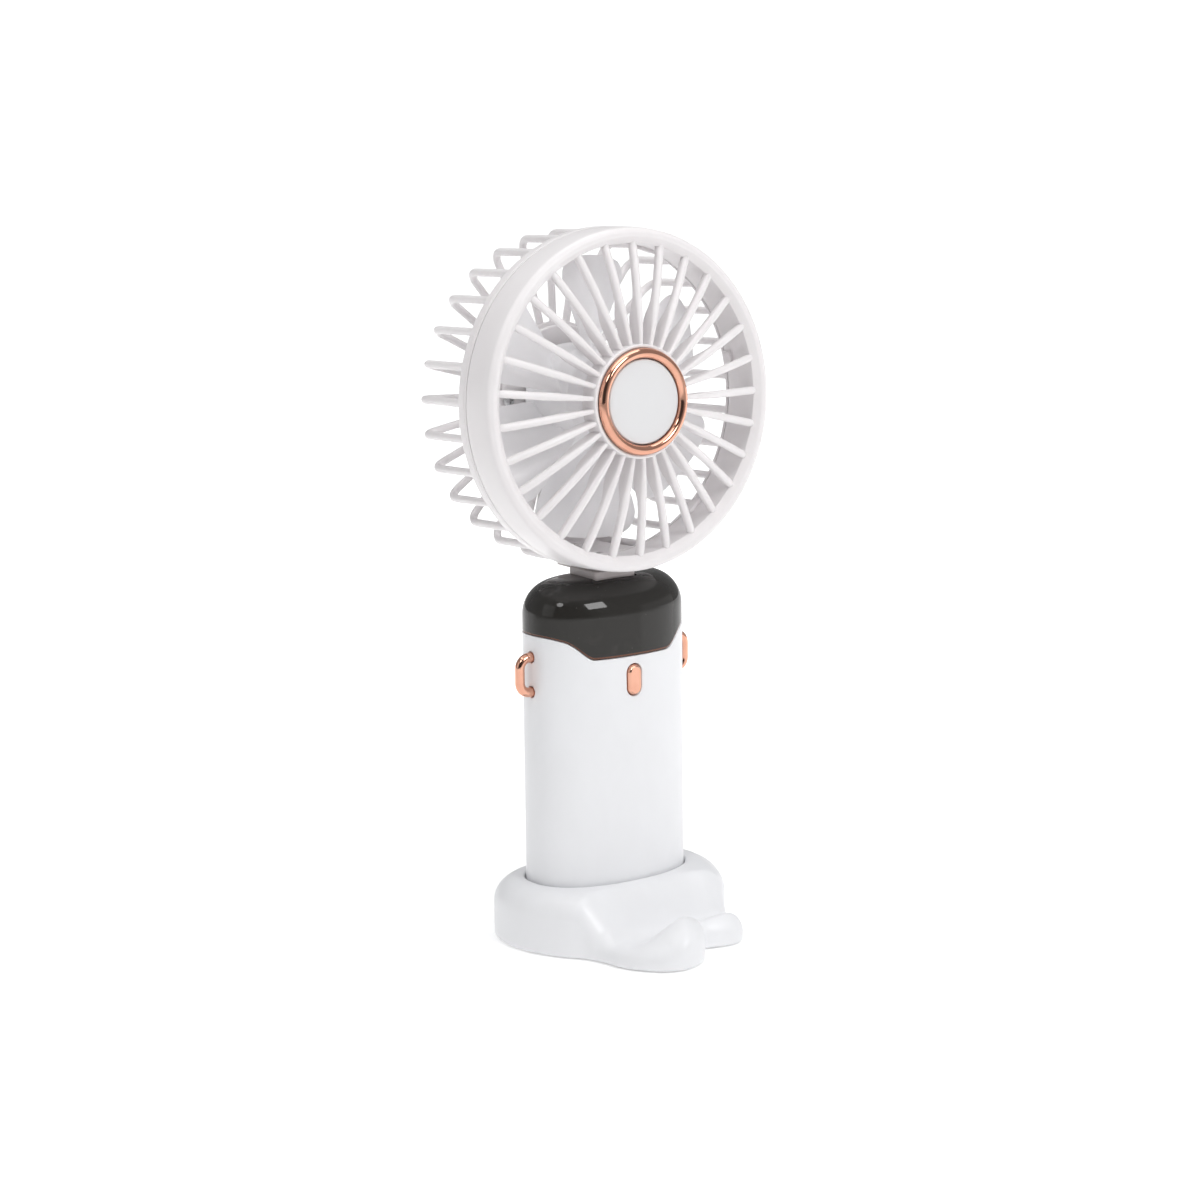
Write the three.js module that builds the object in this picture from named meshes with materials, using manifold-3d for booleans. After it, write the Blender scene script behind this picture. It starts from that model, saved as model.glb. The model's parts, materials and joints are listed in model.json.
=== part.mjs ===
// Handheld electric fan standing in its stand, millimetres, +Z up.
// Origin: middle of the handle's footprint on the surface the stand rests on; the fan blows towards -Y.
import * as THREE from 'three';
import { mergeVertices } from 'three/addons/utils/BufferGeometryUtils.js';
import Module from 'manifold-3d';

const wasm = await Module();
wasm.setup();

// ---------------------------------------------------------------- driving dimensions
const GAP = 0.3;                 // clearance between neighbouring pieces

// stand
const STAND_SIDE = 9.6;          // stand's oval body past the handle, at the sides
const STAND_BACK = 8.7;          // the same at the back
const STAND_POWER = 2.4;         // squareness of the oval
const STAND_SHIFT = -1;          // oval centre along Y
const STAND_H = 17.5;            // height of the flat top
const STAND_EDGE = 7;            // rounding of the top edge
const STAND_WALL = 2.0;
const WAIST_X = 22.2;            // half width of the waist between the body and the lobes
const WAIST_Y = -31;
const LEFT_REACH = 49.3;         // how far the left lobe reaches forward
const RIGHT_REACH = 39.4;        // how far the right lobe reaches forward
const LOBE_SPLIT_X = 4.6;        // where the long left lobe ends and the short right one starts
const LEFT_LOBE_H = 13.2;
const RIGHT_LOBE_H = 10.0;
const GROOVE_H = 5.4;            // height of the groove floor between ramp and lobes
const RIM_Z = 0.5;               // lower rim of the stand above the surface
const PAD_T = 0.9;
const PAD_INSET = 2.6;
const PLATE_T = 1.5;
const SOCKET_FLOOR = 4.6;        // where the handle stands inside the socket
const SOCKET_CLEAR = 0.4;
const SOCKET_WALL = 1.8;

// handle
const HANDLE_LEN = 99.3;         // end cap to the top of the glossy cap
const HANDLE_A = 24.9;           // half width of the section
const HANDLE_B = 15.3;           // half depth of the section
const HANDLE_POWER = 2.3;        // squareness of the section
const HANDLE_WALL = 1.8;
const CAP_EDGE = 10;             // rounding of the glossy cap's top
const CAP_FRONT = 21.3;          // height of the cap at the middle of the front
const CAP_SIDE = 14.7;           // height of the cap at its sides and back
const BIB_FLAT = 13;             // half width of the low part of the cap's front edge
const BIB_OUTER = 20;            // half width where the front edge has risen
const BIB_RISE = 5.2;            // rise of the front edge between them
const LIP_T = 1.2;               // cap's inner lip
const LIP_DROP = 4.6;
const DISPLAY_HALF_W = 8;
const END_CAP_T = 1.8;

// button and loops
const BUTTON_W = 4.5;
const BUTTON_H = 8.8;
const BUTTON_BELOW_BIB = 7;      // button centre below the front edge of the cap
const BUTTON_PROUD = 0.8;
const BUTTON_TRAVEL = 0.8;
const LOOP_H = 13;
const LOOP_PROUD = 5.3;
const LOOP_D = 2.8;
const LOOP_BELOW_TOP = 26.1;     // loop centre below the cap's top

// hinge
const HINGE_ROOM = 0.582;       // hinge hardware inside the cap's rounded wall
const PIVOT_BELOW_TOP = 6.7;     // pivot below the cap's top
const KNUCKLE_R = 4.2;
const PIN_R = 1.5;
const NECK_W = 14;
const NECK_D = 13.5;
const NECK_SHOW = 2.3;           // neck seen between cap and ring
const NECK_BELOW_TOP = 8.4;      // depth of the neck inside the cap
const SLOT_WALL = 1.5;
const BRACKET_T = 1.2;
const BRACKET_R = 3.2;
const WASHER_T = 0.6;
const CLIP_T = 0.8;
const CLIP_R = 2.7;

// head
const TILT_DEG = 3.02;           // how far the head leans back at rest
const RING_R = 48;
const RING_T = 4.6;              // wall of the ring
const RING_FRONT = 16.4;         // front of the ring before the head's middle plane
const RING_REAR = 0.8;
const SEAM = 5.0;                // joint between front grille and rear grille
const SPOKES = 29;
const SPOKE_PHASE = 98.15;
const SPOKE_BITE = 1.1;          // how far the spokes' tips reach into the ring
const SPOKE_TIP_W = 15.1;
const SPOKE_T = 2.2;
const SPOKE_HUB_W = 19.6;
const HUB_R = 15.85;
const HUB_FRONT = 20.3;
const TRIM_R = 13.45;            // middle radius of the trim ring
const TRIM_TUBE = 1.4;
const RIBS = 29;
const RIB_PHASE = 90;
const RIB_T = 2.3;
const CAGE_STEP = 0.8;           // cage inside the ring's outer face
const CAGE_REAR = 23;            // rear face of the ribs behind the middle plane
const CAGE_CORNER = 4;
const REAR_HUB_R = 21;
const CHIN_HALF_DEG = 15;        // half angle of the solid chin at the bottom
const EAR_PHASE = 180;           // direction of the first of the motor mount's three ears
const MOTOR_R = 11.5;
const SHAFT_R = 1.0;
const BLADES = 6;
const BLADE_CLEAR = 3.4;         // blade tips inside the ring's wall
const BLADE_PHASE = 25;
const BLADE_T = 1.4;
const DRUM_CLEAR = 3.5;          // impeller drum's outer face past the motor

// ---------------------------------------------------------------- worked out from the above
const DEG = Math.PI / 180;
const STAND_HALF_W = HANDLE_A + STAND_SIDE;
const STAND_HALF_D = HANDLE_B + STAND_BACK;
const RING_INNER_R = RING_R - RING_T;
const SPOKE_TIP_R = RING_INNER_R + SPOKE_BITE;
const CAGE_R = RING_R - CAGE_STEP;
const BLADE_R = RING_INNER_R - BLADE_CLEAR;
const DRUM_R = MOTOR_R + DRUM_CLEAR;
const MOUNT_SCREW_R = REAR_HUB_R - 2;      // circle of the motor mount's screws
const HANDLE_BOTTOM = SOCKET_FLOOR + GAP;
const CAP_TOP = HANDLE_BOTTOM + HANDLE_LEN;
const BIB_Z = CAP_TOP - CAP_FRONT;
const CAP_SIDE_Z = CAP_TOP - CAP_SIDE;
const BUTTON_Z = BIB_Z - BUTTON_BELOW_BIB;
const LOOP_Z = CAP_TOP - LOOP_BELOW_TOP;
const INNER_A = HANDLE_A - HANDLE_WALL;
const INNER_B = HANDLE_B - HANDLE_WALL;
const PIVOT_Z = CAP_TOP - PIVOT_BELOW_TOP;
const SLOT_X = NECK_W / 2 + GAP;
const SLOT_FRONT = -NECK_D / 2 - 0.55;
const CHEEK_X = SLOT_X + SLOT_WALL + GAP;        // hinge hardware, from the inside to the outside
const BRACKET_X = CHEEK_X + BRACKET_T;
const WASHER_X = BRACKET_X + GAP;
const PIN_END = WASHER_X + WASHER_T + GAP;
const SLOT_FLOOR = PIVOT_Z - KNUCKLE_R - 0.5;
const NECK_TOP = CAP_TOP + NECK_SHOW - GAP;
const HEAD_Z = CAP_TOP + NECK_SHOW + RING_R * Math.cos(TILT_DEG * DEG);

// Half depth inside the cap at a distance x from its middle plane and a height z.
function capRoom(x, z) {
  const edge = CAP_EDGE - HANDLE_WALL;
  const up = Math.max(z - CAP_TOP + CAP_EDGE, 0);
  const inset = HANDLE_WALL + edge - Math.sqrt(edge ** 2 - up ** 2);
  const side = (x / (HANDLE_A - inset)) ** HANDLE_POWER;
  return (HANDLE_B - inset) * (1 - side) ** (1 / HANDLE_POWER);
}

// The pivot is as far back as the bracket and the clip can be inside the cap.
const pivotRoom = (x, r) => capRoom(x, PIVOT_Z + 0.7 * r) - 0.7 * r - HINGE_ROOM;
const PIVOT_BEHIND = Math.min(pivotRoom(BRACKET_X, BRACKET_R), pivotRoom(PIN_END + CLIP_T, CLIP_R));

// ---------------------------------------------------------------- solids
function solid(geometry) {
  const bare = geometry.clone();
  for (const name of Object.keys(bare.attributes)) {
    if (name !== 'position') bare.deleteAttribute(name);
  }
  const merged = mergeVertices(bare, 1e-4);
  const vertProperties = new Float32Array(merged.attributes.position.array);
  const corners = [];
  const index = merged.index.array;
  for (let i = 0; i < index.length; i += 3) {
    const [a, b, c] = [index[i], index[i + 1], index[i + 2]];
    if (a !== b && b !== c && c !== a) corners.push(a, b, c);
  }
  const build = (list) => new wasm.Manifold(
    new wasm.Mesh({ numProp: 3, vertProperties, triVerts: new Uint32Array(list) }));
  const body = build(corners);
  if (body.volume() > 0) return body;
  const flipped = [];
  for (let i = 0; i < corners.length; i += 3) {
    flipped.push(corners[i], corners[i + 2], corners[i + 1]);
  }
  return build(flipped);
}

function toGeometry(body) {
  const mesh = body.getMesh();
  const geometry = new THREE.BufferGeometry();
  geometry.setAttribute('position', new THREE.BufferAttribute(new Float32Array(mesh.vertProperties), 3));
  geometry.setIndex(new THREE.BufferAttribute(new Uint32Array(mesh.triVerts), 1));
  geometry.computeVertexNormals();
  return geometry;
}

const joined = (bodies) => bodies.reduce((sum, body) => sum.add(body));
const without = (body, cuts) => cuts.reduce((rest, cut) => rest.subtract(cut), body);

function box(x0, x1, y0, y1, z0, z1) {
  const geometry = new THREE.BoxGeometry(x1 - x0, y1 - y0, z1 - z0);
  return solid(geometry.translate((x0 + x1) / 2, (y0 + y1) / 2, (z0 + z1) / 2));
}

// Round solid about Z: profile points are [radius, height].
function turned(profile, segments = 24) {
  const points = profile.map(([r, z]) => new THREE.Vector2(r, z));
  return solid(new THREE.LatheGeometry(points, segments).rotateX(Math.PI / 2));
}

const rod = (r, z0, z1, segments = 16) => turned([[0, z0], [r, z0], [r, z1], [0, z1]], segments);

function tubeRing(r0, r1, z0, z1, segments = 24) {
  return turned([[r0, z0], [r1, z0], [r1, z1], [r0, z1], [r0, z0]], segments);
}

function prism(outline, z0, z1) {
  const shape = new THREE.Shape(outline);
  const geometry = new THREE.ExtrudeGeometry(shape, { depth: z1 - z0, bevelEnabled: false });
  return solid(geometry.translate(0, 0, z0));
}

// Solid through rings of points, each ring an array of Vector3 of the same length.
function loft(rings) {
  const count = rings[0].length;
  const positions = rings.flat().flatMap((p) => [p.x, p.y, p.z]);
  const index = [];
  for (let k = 0; k + 1 < rings.length; k++) {
    for (let i = 0; i < count; i++) {
      const j = (i + 1) % count;
      const [a, b, c, d] = [k * count + i, k * count + j, (k + 1) * count + j, (k + 1) * count + i];
      index.push(a, b, c, a, c, d);
    }
  }
  const last = (rings.length - 1) * count;
  const addMiddle = (ring, first, reverse) => {
    const middle = positions.length / 3;
    const mean = ring.reduce((sum, p) => sum.add(p), new THREE.Vector3()).divideScalar(count);
    positions.push(mean.x, mean.y, mean.z);
    for (let i = 0; i < count; i++) {
      const j = (i + 1) % count;
      if (reverse) index.push(first + j, first + i, middle);
      else index.push(first + i, first + j, middle);
    }
  };
  addMiddle(rings[0], 0, true);
  addMiddle(rings[rings.length - 1], last, false);
  const geometry = new THREE.BufferGeometry();
  geometry.setAttribute('position', new THREE.BufferAttribute(new Float32Array(positions), 3));
  geometry.setIndex(index);
  return solid(geometry);
}

// Distance from the middle to a squared oval in the direction of angle t.
function ovalReach(a, b, power, t) {
  const x = Math.abs(Math.cos(t)) / a;
  const y = Math.abs(Math.sin(t)) / b;
  return 1 / (x ** power + y ** power) ** (1 / power);
}

function oval(a, b, power, count = 36) {
  const points = [];
  for (let i = 0; i < count; i++) {
    const t = (2 * Math.PI * i) / count;
    const c = Math.cos(t);
    const s = Math.sin(t);
    const x = a * Math.sign(c) * Math.abs(c) ** (2 / power);
    const y = b * Math.sign(s) * Math.abs(s) ** (2 / power);
    points.push(new THREE.Vector2(x, y));
  }
  return points;
}

const handleOval = (inset, count) => oval(HANDLE_A - inset, HANDLE_B - inset, HANDLE_POWER, count);

function roundedBox(x0, x1, y0, y1, z0, z1, r) {
  const shape = new THREE.Shape();
  shape.moveTo(x0 + r, y0);
  shape.lineTo(x1 - r, y0);
  shape.absarc(x1 - r, y0 + r, r, -Math.PI / 2, 0);
  shape.absarc(x1 - r, y1 - r, r, 0, Math.PI / 2);
  shape.absarc(x0 + r, y1 - r, r, Math.PI / 2, Math.PI);
  shape.absarc(x0 + r, y0 + r, r, Math.PI, 1.5 * Math.PI);
  const options = { depth: z1 - z0, bevelEnabled: false, curveSegments: 3 };
  return solid(new THREE.ExtrudeGeometry(shape, options).translate(0, 0, z0));
}

// Smooth step from 0 at from to 1 at to; from may be the larger one.
function smooth(from, to, v) {
  const t = THREE.MathUtils.clamp((v - from) / (to - from), 0, 1);
  return t * t * (3 - 2 * t);
}

const mix = THREE.MathUtils.lerp;

// ---------------------------------------------------------------- scene helpers
const fan = new THREE.Group();
const head = new THREE.Group();
head.position.set(0, 0, HEAD_Z);
head.rotation.x = (90 - TILT_DEG) * DEG;      // the head's own +Z is its blowing axis

const finishes = {
  white: [0xeceaea, 0.42, 0],
  black: [0x262523, 0.08, 0],
  rose: [0xe79b7d, 0.15, 1],
  steel: [0xb4b6b9, 0.3, 1],
  rubber: [0x3a3a3c, 0.9, 0],
  board: [0x1f6b3a, 0.5, 0],
  cell: [0x2f5f9e, 0.4, 0],
  lead: [0xb02a24, 0.5, 0],
  paleLead: [0xd8d4d0, 0.5, 0],
};

function piece(name, body, finish, group = fan) {
  const [color, roughness, metalness] = finishes[finish];
  const material = new THREE.MeshStandardMaterial({ color, roughness, metalness });
  const mesh = new THREE.Mesh(toGeometry(body), material);
  mesh.name = name;
  group.add(mesh);
  return mesh;
}

// A screw standing along +Z: head at the bottom (z0), shank upwards.
function screw(headR, headT, shankR, length, x, y, z0, segments = 8) {
  const profile = [[0, z0], [headR, z0], [headR, z0 + headT], [shankR, z0 + headT]];
  profile.push([shankR, z0 + headT + length], [0, z0 + headT + length]);
  return turned(profile, segments).translate([x, y, 0]);
}

// ---------------------------------------------------------------- stand
function standOutline() {
  const back = [];
  for (let deg = -12; deg <= 192; deg += 17) {
    const reach = ovalReach(STAND_HALF_W, STAND_HALF_D, STAND_POWER, deg * DEG);
    back.push([reach * Math.cos(deg * DEG), STAND_SHIFT + reach * Math.sin(deg * DEG)]);
  }
  const leftLobe = [
    [-STAND_HALF_W + 5.2, STAND_SHIFT - STAND_HALF_D * 0.72],
    [-WAIST_X - 2.3, WAIST_Y + 6.2],
    [-WAIST_X, WAIST_Y],
    [-WAIST_X + 1.1, -LEFT_REACH + 12.6],
    [-WAIST_X + 4.2, -LEFT_REACH + 6.6],
    [-WAIST_X + 9.6, -LEFT_REACH + 1.5],
    [LOBE_SPLIT_X - 11.4, -LEFT_REACH],
    [LOBE_SPLIT_X - 4.6, -LEFT_REACH + 2.4],
    [LOBE_SPLIT_X - 0.9, -LEFT_REACH + 6.6],
    [LOBE_SPLIT_X + 0.2, -RIGHT_REACH - 0.4],
  ];
  const rightLobe = [
    [LOBE_SPLIT_X + 3.2, -RIGHT_REACH + 1.9],
    [LOBE_SPLIT_X + 8.5, -RIGHT_REACH + 0.7],
    [WAIST_X - 4.4, -RIGHT_REACH + 0.2],
    [WAIST_X - 0.5, -RIGHT_REACH + 2.4],
    [WAIST_X + 0.3, -RIGHT_REACH + 6.6],
    [WAIST_X + 2.3, WAIST_Y + 6.2],
    [STAND_HALF_W - 5.2, STAND_SHIFT - STAND_HALF_D * 0.72],
  ];
  const points = [...back, ...leftLobe, ...rightLobe].map(([x, y]) => new THREE.Vector3(x, y, 0));
  const curve = new THREE.CatmullRomCurve3(points, true, 'centripetal');
  return curve.getSpacedPoints(52).slice(0, -1);
}

// Height of the stand's top over the plan, before its edge is rounded.
function standHeight(x, y) {
  const rampTop = mix(-HANDLE_B - 1.7, -HANDLE_B - 5.7, smooth(12, 28, Math.abs(x)));
  const down = smooth(rampTop, WAIST_Y - 1, y);
  const ramp = mix(STAND_H, GROOVE_H, down);
  const left = smooth(LOBE_SPLIT_X + 2.5, LOBE_SPLIT_X - 1, x);
  const leftCrest = mix(GROOVE_H + 0.5, LEFT_LOBE_H, smooth(-WAIST_X + 3, -2, x));
  const crest = mix(RIGHT_LOBE_H, leftCrest, left);
  const rise = smooth(WAIST_Y + mix(2, -2.5, left), mix(-RIGHT_REACH + 3, -LEFT_REACH + 7.5, left), y);
  return Math.max(ramp, 0) + (crest - GROOVE_H) * rise;
}

// Rings of the stand's skin, moved inwards by inset; the top is lowered by as much.
// The side wall stays upright at least up to wallTop.
function standRings(outline, inset, z0, wallTop, middleZ) {
  const at = (p, back, lower) => {
    const r = Math.hypot(p.x, p.y);
    const k = (r - back) / r;
    return new THREE.Vector3(p.x * k, p.y * k, lower);
  };
  const edgeRadius = (p) => {
    const outer = at(p, inset, 0);
    const inner = at(p, inset + STAND_EDGE * 0.6, 0);
    const h = Math.min(standHeight(outer.x, outer.y), standHeight(inner.x, inner.y)) - inset;
    return Math.min(STAND_EDGE - inset, h - wallTop);
  };
  const rings = [outline.map((p) => at(p, inset, z0))];
  for (const turn of [0, 45, 90]) {
    rings.push(outline.map((p) => {
      const r = edgeRadius(p);
      const back = inset + r * (1 - Math.cos(turn * DEG));
      const q = at(p, back, 0);
      q.z = Math.max(standHeight(q.x, q.y) - inset - r * (1 - Math.sin(turn * DEG)), z0 + 0.4);
      return q;
    }));
  }
  for (const share of [0.25, 0.5, 0.75, 1]) {
    rings.push(outline.map((p) => {
      const r = edgeRadius(p);
      const t = Math.atan2(p.y, p.x);
      const end = ovalReach(HANDLE_A, HANDLE_B, HANDLE_POWER, t) - 1;
      const start = Math.hypot(p.x, p.y) - inset - r;
      const reach = mix(start, end, share);
      const q = new THREE.Vector3(reach * Math.cos(t), reach * Math.sin(t), 0);
      q.z = share === 1 ? middleZ : standHeight(q.x, q.y) - inset;
      return q;
    }));
  }
  return rings;
}

const CUP_A = HANDLE_A + SOCKET_CLEAR + SOCKET_WALL;
const CUP_B = HANDLE_B + SOCKET_CLEAR + SOCKET_WALL;

// A screw behind the handle, a share of the way from the socket's cup to the stand's side.
function backScrew(deg) {
  const cup = ovalReach(CUP_A, CUP_B, HANDLE_POWER, deg * DEG);
  const side = ovalReach(STAND_HALF_W, STAND_HALF_D, STAND_POWER, deg * DEG);
  const reach = mix(cup, side, 0.37);
  return [reach * Math.cos(deg * DEG), reach * Math.sin(deg * DEG)];
}

const STAND_SCREWS = [backScrew(145), backScrew(35), [-9, -LEFT_REACH + 11.3], [12.5, -RIGHT_REACH + 6.9]];
const PAD_TOP = PAD_T;
const PLATE_Z = PAD_TOP + GAP;
const PLATE_TOP = PLATE_Z + PLATE_T;

function buildStand() {
  const outline = standOutline();
  const insetOutline = (d) => outline.map((p) => {
    const k = 1 - d / Math.hypot(p.x, p.y);
    return new THREE.Vector2(p.x * k, p.y * k);
  });
  const skin = loft(standRings(outline, 0, RIM_Z, RIM_Z + 1.6, STAND_H));
  const roof = STAND_H - STAND_WALL;
  const hollow = loft(standRings(outline, STAND_WALL, RIM_Z - 1, PLATE_TOP + GAP, roof));
  const socket = oval(HANDLE_A + SOCKET_CLEAR, HANDLE_B + SOCKET_CLEAR, HANDLE_POWER);
  const cup = prism(oval(CUP_A, CUP_B, HANDLE_POWER), PLATE_TOP + GAP, STAND_H);
  const posts = STAND_SCREWS.map(([x, y]) => rod(2.1, PLATE_TOP + GAP, STAND_H, 8).translate([x, y, 0]));
  const room = without(hollow, [cup, ...posts]);
  const pocket = prism(socket, SOCKET_FLOOR, STAND_H + 5);
  const pilots = STAND_SCREWS.map(([x, y]) => rod(1.1, PLATE_TOP, 8.2, 8).translate([x, y, 0]));
  piece('stand_shell', without(skin, [room, pocket, ...pilots]), 'white');

  const plateOutline = insetOutline(STAND_WALL + GAP);
  const throughs = STAND_SCREWS.map(([x, y]) => screw(2.1, 0.9, 1.2, 5, x, y, PLATE_Z - 0.1));
  piece('stand_plate', without(prism(plateOutline, PLATE_Z, PLATE_TOP), throughs), 'white');
  piece('foot_pad', prism(insetOutline(PAD_INSET), 0, PAD_TOP), 'rubber');
  STAND_SCREWS.forEach(([x, y], i) => {
    piece(`stand_screw_${i + 1}`, screw(1.7, 0.6, 0.8, 5.4, x, y, PLATE_Z), 'steel');
  });
}

// ---------------------------------------------------------------- handle
function bibOutline(shift) {
  const z = (rise) => BIB_Z + rise + shift;
  const right = [[0, 0], [BIB_FLAT, 0], [14.6, 0.5], [16.5, 2.6], [18.4, 4.7], [BIB_OUTER, BIB_RISE]];
  right.push([HANDLE_A + 2, CAP_FRONT - CAP_SIDE + 0.2]);
  const half = right.map(([x, rise]) => new THREE.Vector2(x, z(rise)));
  const other = half.slice(1).reverse().map((p) => new THREE.Vector2(-p.x, p.y));
  return [...other, ...half];
}

// Everything above the cap's lower edge, moved by shift: a wavy edge in front, a level one behind.
function aboveEdge(shift) {
  const top = CAP_TOP + 5;
  const outline = [...bibOutline(shift)];
  outline.push(new THREE.Vector2(HANDLE_A + 2, top), new THREE.Vector2(-HANDLE_A - 2, top));
  const front = prism(outline, 0, HANDLE_B + 2).rotate([90, 0, 0]);
  const back = box(-HANDLE_A - 2, HANDLE_A + 2, -0.01, HANDLE_B + 2, CAP_SIDE_Z + shift, top);
  return front.add(back);
}

function handleOuter() {
  const ring = (inset, z) => handleOval(inset, 36).map((p) => new THREE.Vector3(p.x, p.y, z));
  const rings = [ring(0, HANDLE_BOTTOM)];
  for (const turn of [0, 22.5, 45, 67.5, 90]) {
    const inset = CAP_EDGE * (1 - Math.cos(turn * DEG));
    rings.push(ring(inset, CAP_TOP - CAP_EDGE * (1 - Math.sin(turn * DEG))));
  }
  return loft(rings);
}

function handleInner() {
  const ring = (inset, z) => handleOval(inset, 32).map((p) => new THREE.Vector3(p.x, p.y, z));
  const rings = [ring(HANDLE_WALL, HANDLE_BOTTOM - 2)];
  for (const turn of [0, 35, 70]) {
    const inset = HANDLE_WALL + (CAP_EDGE - HANDLE_WALL) * (1 - Math.cos(turn * DEG));
    const drop = (CAP_EDGE - HANDLE_WALL) * (1 - Math.sin(turn * DEG));
    rings.push(ring(inset, CAP_TOP - HANDLE_WALL - drop));
  }
  return loft(rings);
}

// The loop is one bent bar: two legs through the wall and a bar outside.
function loopPath(side, reach) {
  const bend = 2.6;
  const half = LOOP_H / 2 - LOOP_D / 2;
  const outX = HANDLE_A + LOOP_PROUD - LOOP_D / 2;
  const points = [];
  points.push([HANDLE_A - reach, half]);
  for (const turn of [0, 30, 60, 90]) {
    points.push([outX - bend + bend * Math.sin(turn * DEG), half - bend + bend * Math.cos(turn * DEG)]);
  }
  const lower = points.map(([x, z]) => [x, -z]).reverse();
  return [...points, ...lower].map(([x, z]) => new THREE.Vector3(side * x, 0, LOOP_Z + z));
}

function bentBar(path, r, sides) {
  const rings = path.map((p, i) => {
    const before = path[Math.max(i - 1, 0)];
    const after = path[Math.min(i + 1, path.length - 1)];
    const along = after.clone().sub(before).normalize();
    const across = new THREE.Vector3(0, 1, 0);
    const up = new THREE.Vector3().crossVectors(along, across);
    return Array.from({ length: sides }, (_, k) => {
      const t = (2 * Math.PI * (k + 0.5)) / sides;
      return p.clone().addScaledVector(across, r * Math.cos(t)).addScaledVector(up, r * Math.sin(t));
    });
  });
  return loft(rings);
}

const LOOP_FOOT = 1.6;           // how far the loop's legs reach into the handle, past the wall
const PORT = { w: 9, h: 3.3, depth: 7.2 };
const PORT_Z = LOOP_Z - 1.6;
const END_SCREW_X = HANDLE_A - 4.6;
const SWITCH = { size: 6, depth: 3.4 };
const BOARD_T = 1.2;
const FLANGE_T = 0.8;
const BUTTON_BACK = -INNER_B + GAP + FLANGE_T;           // back face of the button's flange
const STEM_TIP = BUTTON_BACK + BUTTON_TRAVEL + 0.1;      // front of the switch's stem
const SWITCH_FRONT = STEM_TIP + 0.9;
const BOARD_FRONT = SWITCH_FRONT + SWITCH.depth + GAP;
const BOARD_BACK = BOARD_FRONT + BOARD_T;
const LOWER_Z = HANDLE_BOTTOM + END_CAP_T;               // underside of the sleeve
const PACK_HALF_W = INNER_A - 7.1;
const PACK_BACK = INNER_B - 4.4;
const PACK_BOTTOM = LOWER_Z + 5.3;
const PACK_TOP = PORT_Z - PORT.h / 2 - 4.5;
const CHARGE_BOARD_Z = PORT_Z - PORT.h / 2 - GAP - BOARD_T;

const pill = (w, h, y0, y1, z) => {
  const r = w / 2;
  return roundedBox(-r, r, -h / 2, h / 2, 0, y1 - y0, r - 0.01).rotate([90, 0, 0]).translate([0, y1, z]);
};

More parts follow.
